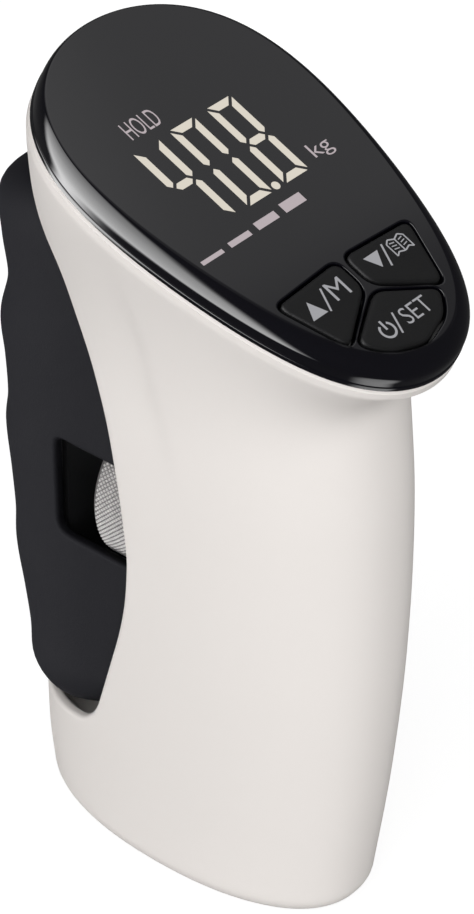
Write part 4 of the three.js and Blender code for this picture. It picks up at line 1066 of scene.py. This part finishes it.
def build_marks():
    add_text("mark_hold", "HOLD", (-11.1, 17.9), (-4.1, 21.3), "housing", MARK, COVER_TOP)
    add_text("mark_kg", "kg", (12.3, -1.1), (16.6, 2.5), "housing", MARK, COVER_TOP)
    add_text("legend_mode", "M", (-6.6, -21.5), (-3.2, -18.1), "key_up", LEGEND, KEY_TOP)
    add_text("legend_set", "SET", (-0.1, -30.9), (5.9, -27.9), "key_power", LEGEND, KEY_TOP)

    def legend(name, outline, key):
        add_mark("legend_" + name, outline, key, LEGEND, KEY_TOP)

    legend("up", [(-12.9, -22.0), (-9.5, -22.0), (-11.2, -18.9)], "key_up")
    legend("up_slash", stroke([(-9.0, -22.2), (-7.3, -18.3)], LINE), "key_up")
    legend("down", [(3.1, -18.2), (6.5, -18.2), (4.8, -21.0)], "key_down")
    legend("down_slash", stroke([(6.3, -21.6), (7.9, -17.8)], LINE), "key_down")
    book = [(8.6, -20.9), (8.6, -18.4), (9.4, -17.8), (10.6, -18.3), (10.6, -20.8), (9.4, -20.4)]
    legend("book_left", stroke(book + book[:1], BOOK_LINE), "key_down")
    leaf = [(21.2 - x, y) for x, y in book]
    legend("book_right", stroke((leaf + leaf[:1])[::-1], BOOK_LINE), "key_down")
    for i, y in enumerate((-18.6, -19.2, -19.8)):
        left_line = [(9.1, y + 0.1), (10.1, y - 0.1)]
        right_line = [(11.1, y - 0.1), (12.1, y + 0.1)]
        legend(f"book_line_{i + 1}", stroke(left_line, FINE_LINE), "key_down")
        legend(f"book_line_{i + 4}", stroke(right_line, FINE_LINE), "key_down")
    ring = arc((-4.0, -29.6), 1.35, 125, 415, 30)
    legend("power_ring", stroke(ring, BOLD_LINE), "key_power")
    legend("power_bar", stroke([(-4.0, -29.5), (-4.0, -27.7)], BOLD_LINE), "key_power")
    legend("set_slash", stroke([(-2.3, -31.3), (-0.9, -27.7)], LINE), "key_power")


# ---------------- knurled wheel

def build_wheel():
    """A straight rim with crossed grooves, chamfered edges and plain faces."""
    low, high = (np.array(c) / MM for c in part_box("adjust_wheel"))
    radius = (high[0] - low[0]) / 2
    axis_z = (high[2] + low[2]) / 2
    rear, front = WHEEL_REAR_Y, high[1]
    pitch = TURN * radius / KNURL_DIAMONDS
    columns = KNURL_DIAMONDS * KNURL_COLUMNS
    start, stop = rear + WHEEL_CHAMFER, front - WHEEL_CHAMFER
    chamfer_r = radius - WHEEL_CHAMFER - KNURL_DEPTH / 2
    angles = np.arange(columns) / columns * TURN
    loops = []

    def ring(r, y):
        r = np.broadcast_to(r, angles.shape)
        x, z = r * np.cos(angles), axis_z + r * np.sin(angles)
        loops.append(np.stack([x, np.full_like(angles, y), z], -1))

    ring(WHEEL_BORE, WHEEL_HUB_END_Y)
    ring(WHEEL_HUB, WHEEL_HUB_END_Y)
    ring(WHEEL_HUB, rear)
    ring(radius - WHEEL_REAR_LAND, rear)
    ring(chamfer_r, rear)
    for y in np.linspace(start, stop, KNURL_ROWS):
        around = radius * angles / pitch
        along = (y - start) / pitch
        one = 1 - 2 * np.abs((around + along) % 1 - 0.5)
        two = 1 - 2 * np.abs((around - along) % 1 - 0.5)
        edge = min((y - start) / KNURL_RUN_OUT, (stop - y) / KNURL_RUN_OUT, 1)
        peak = np.minimum(np.minimum(one, two) * KNURL_STEEPNESS, 1)
        ring(radius - KNURL_DEPTH * (1 - peak * edge), y)
    ring(chamfer_r, front)
    recess_outer, recess_inner = (radius - 3.0, radius - 2.6), (7.2, 6.8)
    ring(recess_outer[1], front)
    ring(recess_outer[0], front - WHEEL_RECESS)
    ring(recess_inner[0], front - WHEEL_RECESS)
    ring(recess_inner[1], front)
    ring(WHEEL_BORE, front)
    faces = loft_faces(len(loops), columns, 0, (False, False))
    last = (len(loops) - 1) * columns
    faces += [(last + i, last + (i + 1) % columns, (i + 1) % columns, i) for i in range(columns)]
    faces = [tuple(reversed(f)) for f in faces]
    add_object(
        "wheel_knurled", np.concatenate(loops), faces, KNURL,
        "wheel", "adjust_wheel", 28,
    )


# ---------------- stage, light and camera

AZIMUTH, ELEVATION, DISTANCE = math.radians(-50), math.radians(36), 0.540
AIM = Vector((0.001, -0.005, 0.081))
SENSOR, LENS = 36.0, 131.4354486


def light_path(tree, output):
    return tree.nodes.new("ShaderNodeLightPath").outputs[output]


FLOOR_SIZE = 3.0
FLOOR_DROP = 0.1 * MM
FLOOR_GREY = 0.34
FLOOR_GLOW = 0.8


def build_stage():
    size = FLOOR_SIZE
    mesh = bpy.data.meshes.new("floor")
    corners = [(-size, -size, 0), (size, -size, 0), (size, size, 0), (-size, size, 0)]
    mesh.from_pydata(corners, [], [(0, 1, 2, 3)])
    material, tree, shader = nodes_for("floor_paper")
    seen = light_path(tree, "Is Camera Ray")
    glow = worked(tree, "ShaderNodeMath", "MULTIPLY", seen, FLOOR_GLOW)
    tree.links.new(glow.outputs[0], shader.inputs["Emission Strength"])
    grey = (FLOOR_GREY, FLOOR_GREY, FLOOR_GREY, 1)
    set_inputs(shader, Base_Color=grey, Emission_Color=(1, 1, 1, 1), Roughness=0.9)
    mesh.materials.append(material)
    floor = bpy.data.objects.new("floor", mesh)
    floor.location.z = -FLOOR_DROP
    floor.visible_glossy = False
    bpy.context.scene.collection.objects.link(floor)


# The studio's soft lights, as (brightness, conditions). A condition is (direction, start, stop),
# and rises smoothly from 0 to 1 as the dot product of the sky's direction with its own goes from
# start to stop. A light is the product of its conditions. The broad lights fall on the object,
# and the mirrored ones are what its glossy parts reflect.
def towards(azimuth, elevation):
    a, e = math.radians(azimuth), math.radians(elevation)
    return (math.cos(e) * math.cos(a), math.cos(e) * math.sin(a), math.sin(e))


def patch(azimuth, elevation, inner, outer):
    reach = (math.cos(math.radians(outer)), math.cos(math.radians(inner)))
    return (towards(azimuth, elevation), *reach)


UP, DOWN = (0, 0, 1), (0, 0, -1)
EAST, WEST, NORTH, SOUTH = (1, 0, 0), (-1, 0, 0), (0, 1, 0), (0, -1, 0)
BROAD_LIGHTS = [
    (1.65, [patch(190, 15, 10, 60)]),
    (0.94, [patch(250, 15, 10, 60)]),
    (0.2, [patch(280, 15, 10, 60)]),
]
# The part of the sky that the flat face and the rim's upper side mirror towards the camera.
FACE_BOUNDS = [(SOUTH, -0.45, -0.15), (EAST, 0.15, 0.4), (UP, 0.2, 0.4)]
FACE_RIGHT = (WEST, -0.76, -0.7)
MIRRORED_LIGHTS = [
    (0.25, [(NORTH, -0.2, -0.12), FACE_RIGHT, *FACE_BOUNDS]),
    (0.37, [(NORTH, -0.075, -0.04), FACE_RIGHT, *FACE_BOUNDS]),
    (0.35, [(WEST, -0.65, -0.615), (NORTH, -0.06, 0.0), *FACE_BOUNDS]),
    (2.6, [patch(248, -63, 6, 17)]),
    (10.0, [
        (towards(109, 0), -0.1, 0.15), (towards(205, 0), -0.1, 0.1), (UP, -0.56, -0.45),
        (DOWN, -0.975, -0.93), (DOWN, -2.2, 1.2),
    ]),
]
BROAD_SKY = 0.33
MIRRORED_SKY = 0.1


def sky_level(tree, lights, base):
    """Brightness over the sky: an even base and every light on top of it."""
    ray = tree.nodes.new("ShaderNodeTexCoord").outputs["Generated"]

    def combined(operation, first, second):
        return worked(tree, "ShaderNodeMath", operation, first, second).outputs[0]

    def rise(direction, start, stop):
        dot = worked(tree, "ShaderNodeVectorMath", "DOT_PRODUCT", ray, direction)
        ramp = mapped(tree, dot.outputs["Value"], start, stop)
        ramp.interpolation_type = "SMOOTHSTEP"
        return ramp.outputs["Result"]

    level = float(base)
    for gain, conditions in lights:
        light = rise(*conditions[0])
        for condition in conditions[1:]:
            light = combined("MULTIPLY", light, rise(*condition))
        level = combined("ADD", combined("MULTIPLY", light, gain), level)
    return level


CAMERA_SKY = 1.1


def build_light():
    world = bpy.data.worlds.new("studio")
    world.use_nodes = True
    tree = world.node_tree
    background = tree.nodes["Background"]
    background.inputs["Color"].default_value = (1, 1, 1, 1)
    level = sky_level(tree, BROAD_LIGHTS, BROAD_SKY)
    mirrored_level = sky_level(tree, MIRRORED_LIGHTS, MIRRORED_SKY)
    for path, other in (("Is Glossy Ray", mirrored_level), ("Is Camera Ray", None)):
        choice = tree.nodes.new("ShaderNodeMix")
        choice.inputs["B"].default_value = CAMERA_SKY
        tree.links.new(light_path(tree, path), choice.inputs["Factor"])
        tree.links.new(level, choice.inputs["A"])
        if other:
            tree.links.new(other, choice.inputs["B"])
        level = choice.outputs["Result"]
    tree.links.new(level, background.inputs["Strength"])
    bpy.context.scene.world = world
    bpy.context.scene.view_settings.view_transform = "Standard"


def build_camera():
    camera = bpy.data.cameras.new("camera")
    camera.sensor_width = SENSOR
    camera.lens = LENS
    camera.clip_start = 0.01
    back = Vector((
        math.sin(AZIMUTH) * math.cos(ELEVATION), -math.cos(AZIMUTH) * math.cos(ELEVATION),
        math.sin(ELEVATION),
    ))
    obj = bpy.data.objects.new("camera", camera)
    obj.location = AIM + back * DISTANCE
    obj.rotation_euler = (-back).to_track_quat("-Z", "Y").to_euler()
    bpy.context.scene.collection.objects.link(obj)
    bpy.context.scene.camera = obj


finish_frame_nodes()
build_shell()
build_grip()
build_cover()
for key_name, key_points in KEYS.items():
    build_key(key_name, key_points)
build_digits()
build_marks()
build_wheel()
build_stage()
build_light()
build_camera()
